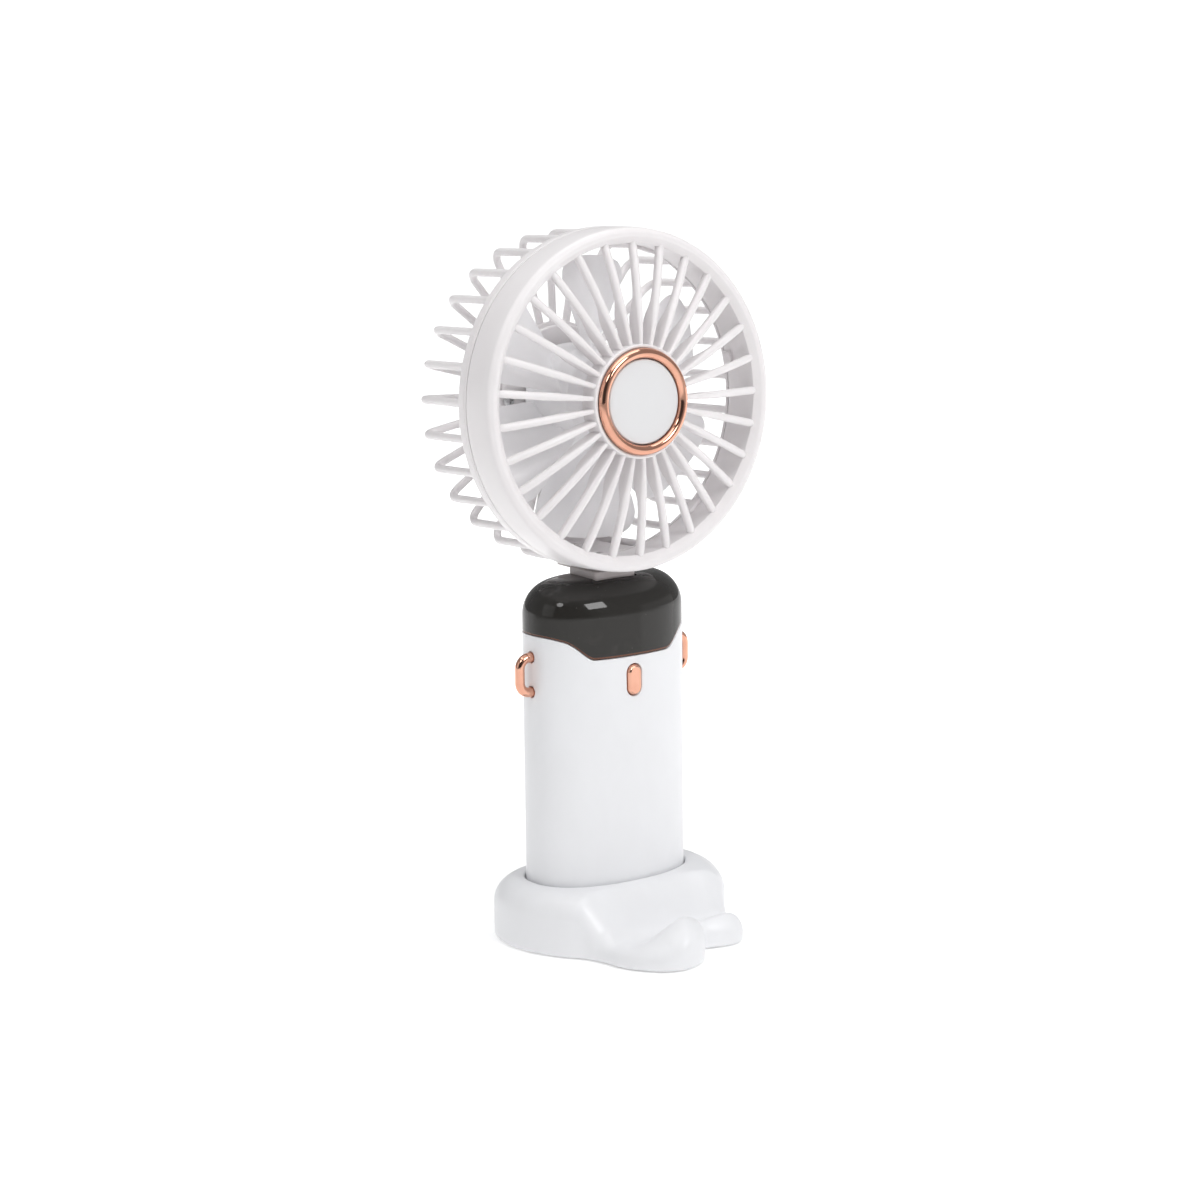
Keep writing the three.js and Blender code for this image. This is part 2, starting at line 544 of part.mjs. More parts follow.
function buildHandle() {
  const outer = handleOuter();
  const inner = handleInner();
  const above = box(-HANDLE_A - 2, HANDLE_A + 2, -HANDLE_B - 2, HANDLE_B + 2, LOWER_Z, CAP_TOP + 5);

  // sleeve
  const bosses = [-1, 1].map((side) => joined([
    rod(2.4, LOWER_Z, LOWER_Z + 13, 12).translate([side * END_SCREW_X, 0, 0]),
    box(...(side < 0 ? [-INNER_A - 0.6, -END_SCREW_X] : [END_SCREW_X, INNER_A + 0.6]), -1.6, 1.6,
      LOWER_Z, LOWER_Z + 13),
  ]));
  const tube = joined([outer.subtract(inner), ...bosses.map((b) => b.intersect(outer))]);
  const loopHoles = [-1, 1].map((side) => joined([1, -1].map((end) => {
    const z = LOOP_Z + end * (LOOP_H / 2 - LOOP_D / 2);
    return rod(LOOP_D / 2 + GAP, -4, 4, 12).rotate([0, 90, 0]).translate([side * HANDLE_A, 0, z]);
  })));
  const buttonHole = pill(BUTTON_W + 2 * GAP, BUTTON_H + 2 * GAP, -HANDLE_B - 2, -INNER_B + 2, BUTTON_Z);
  const portHole = roundedBox(-PORT.w / 2 - GAP, PORT.w / 2 + GAP, -PORT.h / 2 - GAP, PORT.h / 2 + GAP,
    0, 8, PORT.h / 2).rotate([90, 0, 0]).translate([0, HANDLE_B + 2, PORT_Z]);
  const pilots = [-1, 1].map((side) => rod(1.1, LOWER_Z - 1, LOWER_Z + 11, 10)
    .translate([side * END_SCREW_X, 0, 0]));
  const sleeveCuts = [aboveEdge(-GAP / 2), buttonHole, portHole, ...loopHoles, ...pilots];
  piece('handle_sleeve', without(tube.intersect(above), sleeveCuts), 'white');

  // end cap, its plug and screws
  const flange = outer.intersect(box(-HANDLE_A, HANDLE_A, -HANDLE_B, HANDLE_B, HANDLE_BOTTOM, LOWER_Z - GAP));
  const plugOutline = handleOval(HANDLE_WALL + GAP, 32);
  const plug = prism(plugOutline, LOWER_Z - GAP - 0.01, LOWER_Z + 3);
  const bossRoom = [-1, 1].map((side) => rod(2.4 + GAP, LOWER_Z - GAP, LOWER_Z + 5, 12)
    .translate([side * END_SCREW_X, 0, 0]));
  const bossSide = [[-HANDLE_A, -END_SCREW_X], [END_SCREW_X, HANDLE_A]]
    .map(([x0, x1]) => box(x0, x1, -2.6, 2.6, LOWER_Z - GAP, LOWER_Z + 5));
  const screwRoom = [-1, 1].map((side) => (
    screw(2.0, 0.8, 1.1, 9, side * END_SCREW_X, 0, HANDLE_BOTTOM - 0.1)));
  const endCap = without(flange.add(without(plug, [...bossRoom, ...bossSide])), screwRoom);
  piece('handle_end_cap', endCap, 'white');
  [-1, 1].forEach((side, i) => {
    piece(`end_cap_screw_${i + 1}`, screw(1.7, 0.5, 0.8, 8, side * END_SCREW_X, 0, HANDLE_BOTTOM), 'steel');
  });

  // glossy cap with the hinge slot
  const lip = prism(handleOval(HANDLE_WALL + GAP, 32), CAP_SIDE_Z - LIP_DROP, CAP_SIDE_Z + 3)
    .subtract(prism(handleOval(HANDLE_WALL + GAP + LIP_T, 32), CAP_SIDE_Z - LIP_DROP - 1, CAP_SIDE_Z + 4));
  const shelf = prism(handleOval(HANDLE_WALL - 0.4, 32), CAP_SIDE_Z + GAP, CAP_SIDE_Z + 3)
    .subtract(prism(handleOval(HANDLE_WALL + GAP + LIP_T, 32), CAP_SIDE_Z - 1, CAP_SIDE_Z + 4));
  const slotShell = box(-SLOT_X - SLOT_WALL, SLOT_X + SLOT_WALL, SLOT_FRONT - SLOT_WALL, HANDLE_B + 1,
    SLOT_FLOOR - SLOT_WALL, CAP_TOP + 1);
  const slotLow = box(-SLOT_X, SLOT_X, SLOT_FRONT, PIVOT_BEHIND + KNUCKLE_R + 0.5, SLOT_FLOOR, CAP_TOP + 3);
  const slotHigh = box(-SLOT_X, SLOT_X, SLOT_FRONT, HANDLE_B + 4, PIVOT_Z + 0.1, CAP_TOP + 3);
  const across = (r, x0, x1) => rod(r, x0, x1, 12).rotate([0, 90, 0]).translate([0, PIVOT_BEHIND, PIVOT_Z]);
  const shellPart = outer.intersect(aboveEdge(GAP / 2));
  const room = inner.subtract(slotShell);
  const displayRoom = box(-DISPLAY_HALF_W - 1.5, DISPLAY_HALF_W + 1.5, -HANDLE_B, 0,
    CAP_SIDE_Z - LIP_DROP - 1, CAP_SIDE_Z + 5);
  const capBody = joined([shellPart.subtract(room), lip.add(shelf).subtract(displayRoom)]);
  const pinBore = across(PIN_R + GAP, -30, 30).intersect(inner);
  piece('top_cap', without(capBody, [slotLow, slotHigh, pinBore]), 'black');

  // button, switch, boards, display, battery
  const face = pill(BUTTON_W, BUTTON_H, -HANDLE_B - BUTTON_PROUD, -INNER_B + GAP + 0.1, BUTTON_Z);
  const buttonFlange = pill(BUTTON_W + 2.4, BUTTON_H + 2.4, -INNER_B + GAP, BUTTON_BACK, BUTTON_Z);
  piece('power_button', face.add(buttonFlange), 'rose');
  const half = SWITCH.size / 2;
  const switchBody = box(-half, half, SWITCH_FRONT, BOARD_FRONT - GAP, BUTTON_Z - half, BUTTON_Z + half);
  const stem = rod(1.5, 0, 1.4, 12).rotate([-90, 0, 0]).translate([0, STEM_TIP, BUTTON_Z]);
  piece('tact_switch', switchBody.add(stem), 'steel');
  const boardTop = SLOT_FLOOR - SLOT_WALL - 2;
  piece('control_board', box(-8, 8, BOARD_FRONT, BOARD_BACK, BUTTON_Z - 20, boardTop), 'board');
  const windowFront = -INNER_B + 1.0;
  const windowBack = SLOT_FRONT - SLOT_WALL - 1.2;
  piece('display_module', box(-DISPLAY_HALF_W, DISPLAY_HALF_W, windowFront, windowBack,
    BIB_Z + 3, CAP_TOP - CAP_EDGE), 'board');
  piece('battery_pack', roundedBox(-PACK_HALF_W, PACK_HALF_W, BOARD_BACK + 0.9, PACK_BACK,
    PACK_BOTTOM, PACK_TOP, 2.5), 'cell');
  piece('charge_board', box(-8, 8, BOARD_BACK + GAP, INNER_B - 1,
    CHARGE_BOARD_Z, CHARGE_BOARD_Z + BOARD_T), 'board');
  const portBody = roundedBox(-PORT.w / 2, PORT.w / 2, -PORT.h / 2, PORT.h / 2,
    0, PORT.depth, PORT.h / 2 - 0.05);
  const portRoom = roundedBox(-PORT.w / 2 + 0.4, PORT.w / 2 - 0.4, -PORT.h / 2 + 0.4, PORT.h / 2 - 0.4,
    -1, PORT.depth - 0.6, PORT.h / 2 - 0.45);
  const tongue = box(-3.3, 3.3, -0.35, 0.35, 0.8, PORT.depth - 0.5);
  const port = portBody.subtract(portRoom).add(tongue).rotate([90, 0, 0])
    .translate([0, HANDLE_B - 0.3, PORT_Z]);
  piece('charging_socket', port, 'steel');
  const leadPath = [[-12, 2, PACK_TOP + 0.4], [-12, 2, PACK_TOP + 2.4], [-10.8, -1, PACK_TOP + 3.4],
    [-9.8, BOARD_BACK + 1.4, PACK_TOP + 4.8], [-7, BOARD_BACK + 1, PACK_TOP + 7.4]];
  piece('battery_lead', wire(leadPath, 0.7), 'lead');

  // loops with a foot behind the wall
  [-1, 1].forEach((side, i) => {
    const bar = bentBar(loopPath(side, HANDLE_WALL + LOOP_FOOT), LOOP_D / 2, 8);
    piece(i === 0 ? 'lanyard_loop_left' : 'lanyard_loop_right', bar, 'rose');
  });
}

function wire(points, r) {
  const curve = new THREE.CatmullRomCurve3(points.map((p) => new THREE.Vector3(...p)), false, 'centripetal');
  const steps = 10;
  const section = new THREE.Shape();
  section.absarc(0, 0, r, 0, 2 * Math.PI);
  const options = { steps, extrudePath: curve, curveSegments: 3, bevelEnabled: false };
  return solid(new THREE.ExtrudeGeometry(section, options));
}

// ---------------------------------------------------------------- hinge
function buildHinge() {
  const across = (r, x0, x1, sides = 12) => rod(r, x0, x1, sides)
    .rotate([0, 90, 0]).translate([0, PIVOT_BEHIND, PIVOT_Z]);
  const barTop = SLOT_FLOOR - SLOT_WALL - GAP;
  const cheek = (x0, x1) => joined([
    across(BRACKET_R, x0, x1),
    box(x0, x1, PIVOT_BEHIND - BRACKET_R, PIVOT_BEHIND + BRACKET_R, barTop - BRACKET_T, PIVOT_Z),
  ]);
  const bar = box(-BRACKET_X, BRACKET_X, PIVOT_BEHIND - BRACKET_R, PIVOT_BEHIND + BRACKET_R,
    barTop - BRACKET_T, barTop);
  const bracket = joined([bar, cheek(-BRACKET_X, -CHEEK_X), cheek(CHEEK_X, BRACKET_X)]);
  piece('hinge_bracket', bracket.subtract(across(PIN_R + GAP, -30, 30)), 'steel');
  const pinHead = across(2.6, -PIN_END - 1.2, -PIN_END);
  const pin = across(PIN_R, -PIN_END - 1.2, PIN_END + CLIP_T + 0.8).add(pinHead);
  piece('hinge_pin', pin, 'steel');
  const washer = (x0, x1) => across(2.9, x0, x1).subtract(across(PIN_R + GAP, x0 - 1, x1 + 1));
  piece('spring_washer_left', washer(-WASHER_X - WASHER_T, -WASHER_X), 'steel');
  piece('spring_washer_right', washer(WASHER_X, WASHER_X + WASHER_T), 'steel');
  const clipBore = across(PIN_R + GAP, PIN_END - 1, PIN_END + 2);
  const clip = across(CLIP_R, PIN_END, PIN_END + CLIP_T).subtract(clipBore);
  piece('pin_clip', clip.subtract(box(PIN_END - 1, PIN_END + 2, PIVOT_BEHIND - 1, PIVOT_BEHIND + 1,
    PIVOT_Z - 4, PIVOT_Z)), 'steel');
}

const PLATE_UP = 2.0;            // thickness of the neck's plate under the chin
const NECK_PLATE = { halfX: NECK_W / 2 - 1.5, front: -2.6, back: 15 };
const NECK_SCREW_Y = [1.6, 10.9];
const CHIN_ROOF = NECK_TOP + PLATE_UP + GAP;     // underside of the chin block over the plate
const CHIN_BLOCK_T = 1.5;
const BLOCK_TOP = CHIN_ROOF + CHIN_BLOCK_T;      // top of the block the plate is screwed under

function buildNeck() {
  const low = CAP_TOP - NECK_BELOW_TOP;
  const post = box(-NECK_W / 2, NECK_W / 2, -NECK_D / 2, NECK_D / 2, low, NECK_TOP);
  const knuckle = rod(KNUCKLE_R, -NECK_W / 2, NECK_W / 2, 24)
    .rotate([0, 90, 0]).translate([0, PIVOT_BEHIND, PIVOT_Z]);
  const plate = box(-NECK_PLATE.halfX, NECK_PLATE.halfX, NECK_PLATE.front, NECK_PLATE.back,
    NECK_TOP - 0.01, NECK_TOP + PLATE_UP);
  const bore = rod(PIN_R + GAP, -30, 30, 16).rotate([0, 90, 0]).translate([0, PIVOT_BEHIND, PIVOT_Z]);
  const threads = NECK_SCREW_Y.map((y) => rod(1.0, NECK_TOP + 0.6, NECK_TOP + 5, 10).translate([0, y, 0]));
  const cornerCut = box(-NECK_W, NECK_W, -NECK_D, -NECK_D / 2 + 2, low - 1, low + 0.9);
  piece('neck_block', without(joined([post, knuckle, plate]), [bore, cornerCut, ...threads]), 'white');
  NECK_SCREW_Y.forEach((y, i) => {
    const top = BLOCK_TOP - 0.3;
    const profile = [[0, NECK_TOP + 0.9], [0.7, NECK_TOP + 0.9], [0.7, top - 0.7], [1.2, top - 0.7]];
    profile.push([1.2, top], [0, top]);
    piece(`neck_screw_${i + 1}`, turned(profile, 10).translate([0, y, 0]), 'steel');
  });
}

// ---------------------------------------------------------------- head
const spokeFront = (r) => {
  const t = THREE.MathUtils.clamp((r - HUB_R) / (SPOKE_TIP_R - HUB_R), 0, 1);
  return mix(SPOKE_HUB_W, SPOKE_TIP_W, t ** 1.6);
};
const spokeDepth = (r) => mix(5, 2.5, smooth(0.46 * RING_R, 0.62 * RING_R, r));
const spokeWidth = (r) => SPOKE_T * mix(0.6, 1, smooth(HUB_R, 0.6 * RING_R, r));

function spoke(angle) {
  const stations = [HUB_R - 1.5, 22, 29.5, SPOKE_TIP_R - 1.6, SPOKE_TIP_R + 0.3];
  const rings = stations.map((r, i) => {
    const w = spokeWidth(r) * (i === stations.length - 1 ? 0.4 : 1) / 2;
    const front = spokeFront(r);
    const back = front - spokeDepth(r);
    return [[-w, back], [w, back], [w, front], [-w, front]].map(([x, z]) => new THREE.Vector3(r, x, z));
  });
  return loft(rings).rotate([0, 0, angle]);
}

function buildFrontGrille() {
  const ringProfile = [
    [RING_R, SEAM + GAP / 2], [RING_R, RING_FRONT - 2.6], [RING_R - 0.8, RING_FRONT - 0.8],
    [RING_R - 2.2, RING_FRONT], [RING_R - 3.1, RING_FRONT - 0.1], [RING_INNER_R, RING_FRONT - 1.9],
    [RING_INNER_R, SEAM - 2.8], [RING_INNER_R + 1.8, SEAM - 2.8], [RING_INNER_R + 1.8, SEAM + GAP / 2],
    [RING_R, SEAM + GAP / 2],
  ];
  const ring = turned(ringProfile, 48);
  const hub = turned([
    [0, HUB_FRONT - 3], [HUB_R - 2, HUB_FRONT - 3], [HUB_R - 2, HUB_FRONT - 6.5], [HUB_R, HUB_FRONT - 6.5],
    [HUB_R, HUB_FRONT - 0.6], [HUB_R - 0.5, HUB_FRONT], [TRIM_R + TRIM_TUBE + 0.05, HUB_FRONT],
    [TRIM_R + TRIM_TUBE + 0.05, HUB_FRONT - 1], [TRIM_R - TRIM_TUBE - GAP, HUB_FRONT - 1],
    [0, HUB_FRONT - 1],
  ], 32);
  const spokes = Array.from({ length: SPOKES }, (_, i) => spoke(SPOKE_PHASE + (360 / SPOKES) * i));
  piece('front_grille', joined([ring, hub, ...spokes]), 'white', head);

  const trimZ = HUB_FRONT - 1 + GAP;
  const trimProfile = [[TRIM_R - TRIM_TUBE, trimZ + 0.6], [TRIM_R - TRIM_TUBE + 0.5, trimZ]];
  trimProfile.push([TRIM_R + TRIM_TUBE - 0.5, trimZ], [TRIM_R + TRIM_TUBE - 0.3, trimZ + 0.6]);
  for (const turn of [0, 45, 90, 135, 180]) {
    trimProfile.push([TRIM_R + (TRIM_TUBE - 0.02) * Math.cos(turn * DEG),
      HUB_FRONT + 0.6 + TRIM_TUBE * Math.sin(turn * DEG)]);
  }
  trimProfile.push(trimProfile[0]);
  piece('hub_trim_ring', turned(trimProfile, 28), 'rose', head);
  const discR = TRIM_R - TRIM_TUBE - GAP;
  const disc = turned([[0, trimZ], [discR, trimZ], [discR, HUB_FRONT + 0.8], [discR - 0.6, HUB_FRONT + 1.1],
    [0, HUB_FRONT + 1.2]], 28);
  piece('hub_disc', disc, 'white', head);
}

function rib(angle) {
  const r = CAGE_R - RIB_T / 2;
  const w = -CAGE_REAR + RIB_T / 2;
  const path = [[r, RING_REAR + 0.6]];
  for (const turn of [0, 45, 90]) {
    path.push([r - CAGE_CORNER * (1 - Math.cos(turn * DEG)), w + CAGE_CORNER * (1 - Math.sin(turn * DEG))]);
  }
  path.push([REAR_HUB_R - 2, w]);
  const rings = path.map(([x, z], i) => {
    const before = path[Math.max(i - 1, 0)];
    const after = path[Math.min(i + 1, path.length - 1)];
    const along = new THREE.Vector2(after[0] - before[0], after[1] - before[1]).normalize();
    const half = RIB_T / 2;
    return [[-1, -1], [1, -1], [1, 1], [-1, 1]].map(([s, n]) => new THREE.Vector3(
      x + n * half * along.y, s * half, z - n * half * along.x));
  });
  return loft(rings).rotate([0, 0, angle]);
}

// Part of a round wall between two angles, as a turned solid cut by a wedge.
function wedge(halfDeg, middleDeg, reach, z0, z1) {
  const tip = new THREE.Vector2(0, 0);
  const far = (deg) => new THREE.Vector2(reach * Math.cos(deg * DEG), reach * Math.sin(deg * DEG));
  const outline = [tip, far(middleDeg - halfDeg), far(middleDeg), far(middleDeg + halfDeg)];
  return prism(outline, z0, z1);
}

// Moves a solid from the stand's frame into the tilted head's frame.
const toHead = (body) => body.translate([0, 0, -HEAD_Z]).rotate([TILT_DEG - 90, 0, 0]);

const EAR_DEG = [EAR_PHASE, EAR_PHASE - 120, EAR_PHASE + 120];
const onCircle = (r, deg) => [r * Math.cos(deg * DEG), r * Math.sin(deg * DEG), 0];
const REAR_DISC = { back: -CAGE_REAR - 0.3, front: -CAGE_REAR + RIB_T + 0.2 };
const MOUNT = { back: REAR_DISC.front + GAP, t: 1.8, r: REAR_HUB_R - 1 };

function buildRearGrille() {
  const strip = turned([
    [RING_R, RING_REAR], [RING_R, SEAM - GAP / 2], [RING_INNER_R + 2.1, SEAM - GAP / 2],
    [RING_INNER_R + 2.1, RING_REAR + 1.1], [RING_INNER_R + 0.4, RING_REAR + 1.1],
    [RING_INNER_R + 0.4, RING_REAR], [RING_R, RING_REAR],
  ], 48);
  const ribs = [];
  for (let i = 0; i < RIBS; i++) {
    const angle = RIB_PHASE + (360 / RIBS) * i;
    const fromBottom = Math.abs(((angle - 270 + 540) % 360) - 180);
    if (fromBottom > CHIN_HALF_DEG - 2) ribs.push(rib(angle));
  }
  const hub = rod(REAR_HUB_R, REAR_DISC.back, REAR_DISC.front, 28);
  const lugs = EAR_DEG.map((deg) => rod(3.4, REAR_DISC.back, REAR_DISC.front, 12)
    .translate(onCircle(MOUNT_SCREW_R, deg)));
  const chinProfile = [
    [CAGE_R, RING_REAR + 0.6], [CAGE_R, -CAGE_REAR + CAGE_CORNER], [CAGE_R - 1.2, -CAGE_REAR + 1.2],
    [CAGE_R - CAGE_CORNER, -CAGE_REAR], [REAR_HUB_R - 1, -CAGE_REAR], [REAR_HUB_R - 1, -CAGE_REAR + 2],
    [CAGE_R - CAGE_CORNER - 1, -CAGE_REAR + 2], [CAGE_R - 2.2, -CAGE_REAR + CAGE_CORNER],
    [CAGE_R - 2.2, RING_REAR + 0.6], [CAGE_R, RING_REAR + 0.6],
  ];
  const chinPart = wedge(CHIN_HALF_DEG, 270, 60, -CAGE_REAR - 5, RING_REAR + 5);
  const chin = turned(chinProfile, 48).intersect(chinPart);
  const block = toHead(box(-NECK_PLATE.halfX - 2, NECK_PLATE.halfX + 2, NECK_PLATE.front - 0.4,
    NECK_PLATE.back + 1.8, NECK_TOP + 1, BLOCK_TOP));
  const keep = rod(CAGE_R + 0.3, -CAGE_REAR, RING_REAR + 0.7, 48);
  const plateRoom = toHead(box(-NECK_PLATE.halfX - GAP, NECK_PLATE.halfX + GAP, NECK_PLATE.front - GAP - 6,
    NECK_PLATE.back + GAP, NECK_TOP - 2, CHIN_ROOF));
  const screwHoles = NECK_SCREW_Y.map((y) => toHead(joined([
    rod(1.5, BLOCK_TOP - 1.0, BLOCK_TOP + 6, 12), rod(1.0, CHIN_ROOF - 1, BLOCK_TOP, 12),
  ]).translate([0, y, 0])));
  const pilots = EAR_DEG.map((deg) => rod(1.1, REAR_DISC.back + 0.6, REAR_DISC.front + 2, 10)
    .translate(onCircle(MOUNT_SCREW_R, deg)));
  const whole = joined([strip, hub, ...lugs, ...ribs, chin, block.intersect(keep)]);
  piece('rear_grille', without(whole, [plateRoom, ...screwHoles, ...pilots]), 'white', head);
}

const LEAD_X = -4.5;
const CAN = { back: MOUNT.back + MOUNT.t + GAP, front: -6.6 };

function buildMotor() {
  const ears = EAR_DEG.map((deg) => rod(3.0, MOUNT.back, MOUNT.back + MOUNT.t, 12)
    .translate(onCircle(MOUNT_SCREW_R, deg)));
  const plate = joined([rod(MOUNT.r, MOUNT.back, MOUNT.back + MOUNT.t, 24), ...ears]);
  const bores = EAR_DEG.map((deg) => rod(1.1, MOUNT.back - 1, MOUNT.back + 3, 10)
    .translate(onCircle(MOUNT_SCREW_R, deg)));
  piece('motor_mount', without(plate, [rod(3.4, MOUNT.back - 1, MOUNT.back + 3, 16), ...bores]),
    'white', head);
  EAR_DEG.forEach((deg, i) => {
    const headZ = MOUNT.back + MOUNT.t + GAP;
    const profile = [[0, headZ + 1.1], [1.7, headZ + 1.1], [1.7, headZ], [0.8, headZ]];
    profile.push([0.8, REAR_DISC.back + 1], [0, REAR_DISC.back + 1]);
    piece(`motor_screw_${i + 1}`, turned(profile, 12).translate(onCircle(MOUNT_SCREW_R, deg)), 'steel', head);
  });
  const seat = 2.0;
  const bearingR = 3.0;
  const can = turned([
    [SHAFT_R + 0.5, CAN.back + seat], [bearingR + GAP, CAN.back + seat], [bearingR + GAP, CAN.back],
    [MOTOR_R - 1, CAN.back], [MOTOR_R, CAN.back + 1], [MOTOR_R, CAN.front - 1], [MOTOR_R - 1, CAN.front],
    [bearingR + GAP, CAN.front], [bearingR + GAP, CAN.front - seat], [SHAFT_R + 0.5, CAN.front - seat],
    [SHAFT_R + 0.5, CAN.back + seat],
  ], 24);
  piece('motor_can', can, 'steel', head);
  const bearing = (z0, z1) => tubeRing(SHAFT_R + GAP, bearingR, z0, z1, 12);
  piece('motor_bearing_rear', bearing(CAN.back + 0.1, CAN.back + seat - GAP), 'steel', head);
  piece('motor_bearing_front', bearing(CAN.front - seat + GAP, CAN.front - 0.1), 'steel', head);
  const behind = MOUNT.back + MOUNT.t + 1.1;
  const rimR = HEAD_Z - BLOCK_TOP - 2;       // the lead turns forward just above the block
  const lead = wire([[0, -MOTOR_R - 0.5, behind], [0, -MOTOR_R - 5, behind], [-0.5, -MOUNT.r - 3, behind - 0.4],
    [-2, -MOUNT.r - 11, MOUNT.back + 1], [-4, -rimR + 3, MOUNT.back + 1.4], [LEAD_X, -rimR, MOUNT.back + 5],
    [LEAD_X, -rimR + 0.2, MOUNT.back + 12]], 0.6);
  return lead;
}

// ---------------------------------------------------------------- impeller
function blade(angle) {
  const inner = { halfDeg: 24, rise: 6 };
  const outer = { halfDeg: 23, rise: 5 };
  const middleW = -5.5;
  const stations = [DRUM_R - 0.8, 24, 33, BLADE_R - 2, BLADE_R];
  const shares = [1, 1, 1, 0.75, 0.3];
  const across = [-1, -0.5, 0, 0.5, 1];
  const rings = stations.map((r, i) => {
    const out = (r - DRUM_R) / (BLADE_R - DRUM_R);
    const halfDeg = mix(inner.halfDeg, outer.halfDeg, out);
    const rise = mix(inner.rise, outer.rise, out);
    const point = (v, side) => {
      const t = halfDeg * shares[i] * v * DEG;
      const w = middleW + rise * shares[i] * v + side * BLADE_T / 2;
      return new THREE.Vector3(r * Math.cos(t), r * Math.sin(t), w);
    };
    const upper = across.map((v) => point(v, 1));
    const lower = [...across].reverse().map((v) => point(v, -1));
    return [...upper, ...lower];
  });
  return loft(rings).rotate([0, 0, angle]);
}

function buildImpeller() {
  const front = 0;
  const back = CAN.back + 2.6;
  const drum = turned([
    [0, front], [DRUM_R - 4, front], [DRUM_R - 1.2, front - 1.2], [DRUM_R, front - 4], [DRUM_R, back],
    [DRUM_R - 1.8, back], [DRUM_R - 1.8, front - 4], [DRUM_R - 4, front - 2], [3, front - 2],
    [3, CAN.front + 0.6], [SHAFT_R + GAP, CAN.front + 0.6], [SHAFT_R + GAP, front - 1.2], [0, front - 1.2],
  ], 32);
  const blades = Array.from({ length: BLADES }, (_, i) => blade(BLADE_PHASE + (360 / BLADES) * i));
  piece('impeller', joined([drum, ...blades]), 'white', head);
  piece('motor_shaft', rod(SHAFT_R, MOUNT.back + 0.4, front - 1.5, 16), 'steel', head);
}

// ---------------------------------------------------------------- assembly
buildStand();
buildHandle();
buildHinge();
buildNeck();
buildFrontGrille();
buildRearGrille();
piece('motor_lead', buildMotor(), 'paleLead', head);
buildImpeller();
fan.add(head);

export default fan;
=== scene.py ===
"""Handheld electric fan in its stand: a folding head on a flat oval handle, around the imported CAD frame."""
import json
import math

import bmesh
import bpy
import numpy as np
from mathutils import Matrix, Vector


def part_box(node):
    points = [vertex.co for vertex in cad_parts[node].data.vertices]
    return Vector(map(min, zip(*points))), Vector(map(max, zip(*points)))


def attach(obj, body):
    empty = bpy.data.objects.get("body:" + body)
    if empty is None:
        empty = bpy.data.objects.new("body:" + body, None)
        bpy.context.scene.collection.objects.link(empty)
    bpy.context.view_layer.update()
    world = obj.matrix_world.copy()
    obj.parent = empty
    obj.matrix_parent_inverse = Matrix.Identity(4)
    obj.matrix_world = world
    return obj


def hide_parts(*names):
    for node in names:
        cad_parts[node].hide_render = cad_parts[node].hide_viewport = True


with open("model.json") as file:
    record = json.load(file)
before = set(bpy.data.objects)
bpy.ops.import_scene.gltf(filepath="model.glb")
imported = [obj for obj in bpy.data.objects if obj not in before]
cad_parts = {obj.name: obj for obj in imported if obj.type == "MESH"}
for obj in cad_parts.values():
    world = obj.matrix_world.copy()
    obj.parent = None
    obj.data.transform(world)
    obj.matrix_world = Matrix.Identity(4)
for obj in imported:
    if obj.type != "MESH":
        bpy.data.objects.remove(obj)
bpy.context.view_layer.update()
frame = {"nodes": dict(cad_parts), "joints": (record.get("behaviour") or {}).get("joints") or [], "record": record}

# ------------------------------------------------------------------ sizes
# Lengths in this script are millimetres; mesh_object() turns them into metres.
MM = 0.001
GAP = 0.3                    # clearance between neighbouring pieces


def corners_of(node):
    low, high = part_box(node)
    return np.array(low) / MM, np.array(high) / MM


def middle_of(node):
    low, high = corners_of(node)
    return (low + high) / 2


def shift(x=0.0, y=0.0, z=0.0):
    """Move by millimetres, as a matrix."""
    return Matrix.Translation((x * MM, y * MM, z * MM))


JOINTS = {joint["name"]: joint for joint in frame["joints"]}
SPIN_AXIS = Vector(JOINTS["rotor_spin"]["axis"])
HEAD = Matrix.Translation(JOINTS["rotor_spin"]["pos_m"]) @ Matrix.Rotation(
    math.atan2(-SPIN_AXIS.y, SPIN_AXIS.z), 4, "X")     # the head's own +Z is its blowing axis
PIVOT_Y, PIVOT_Z = (v / MM for v in JOINTS["head_fold"]["pos_m"][1:])


def turned_size(node):
    """Largest radius, rear and front of a node about the head's blowing axis."""
    back = HEAD.inverted()
    points = np.array([back @ v.co for v in frame["nodes"][node].data.vertices]) / MM
    return np.hypot(points[:, 0], points[:, 1]).max(), points[:, 2].min(), points[:, 2].max()


# handle
SLEEVE_LOW, SLEEVE_HIGH = corners_of("handle_sleeve")
HANDLE_A, HANDLE_B = SLEEVE_HIGH[0], SLEEVE_HIGH[1]
HANDLE_POWER = 2.3           # squareness of the section
HANDLE_WALL = 1.8
HANDLE_BOTTOM = corners_of("handle_end_cap")[0][2]
LOWER_Z = SLEEVE_LOW[2]
CAP_TOP = corners_of("top_cap")[1][2]
CAP_SIDE_Z = CAP_TOP - 14.7  # cap's lower edge at the sides and back
BIB_Z = CAP_TOP - 21.3       # cap's lower edge at the middle of the front
BIB_FLAT = 12.2              # half width of the level part of that edge
BIB_OUTER = 20.6             # half width where it has risen
BIB_RISE = 5.2
CAP_EDGE = 10                # rounding of the cap's top
LIP_DROP = 4.6               # cap's inner lip below the side edge
SEAM_GAP = 0.3
SEAM_EDGE = 0.25             # rounding of the edges along the seams
END_SCREW_X = middle_of("end_cap_screw_2")[0]

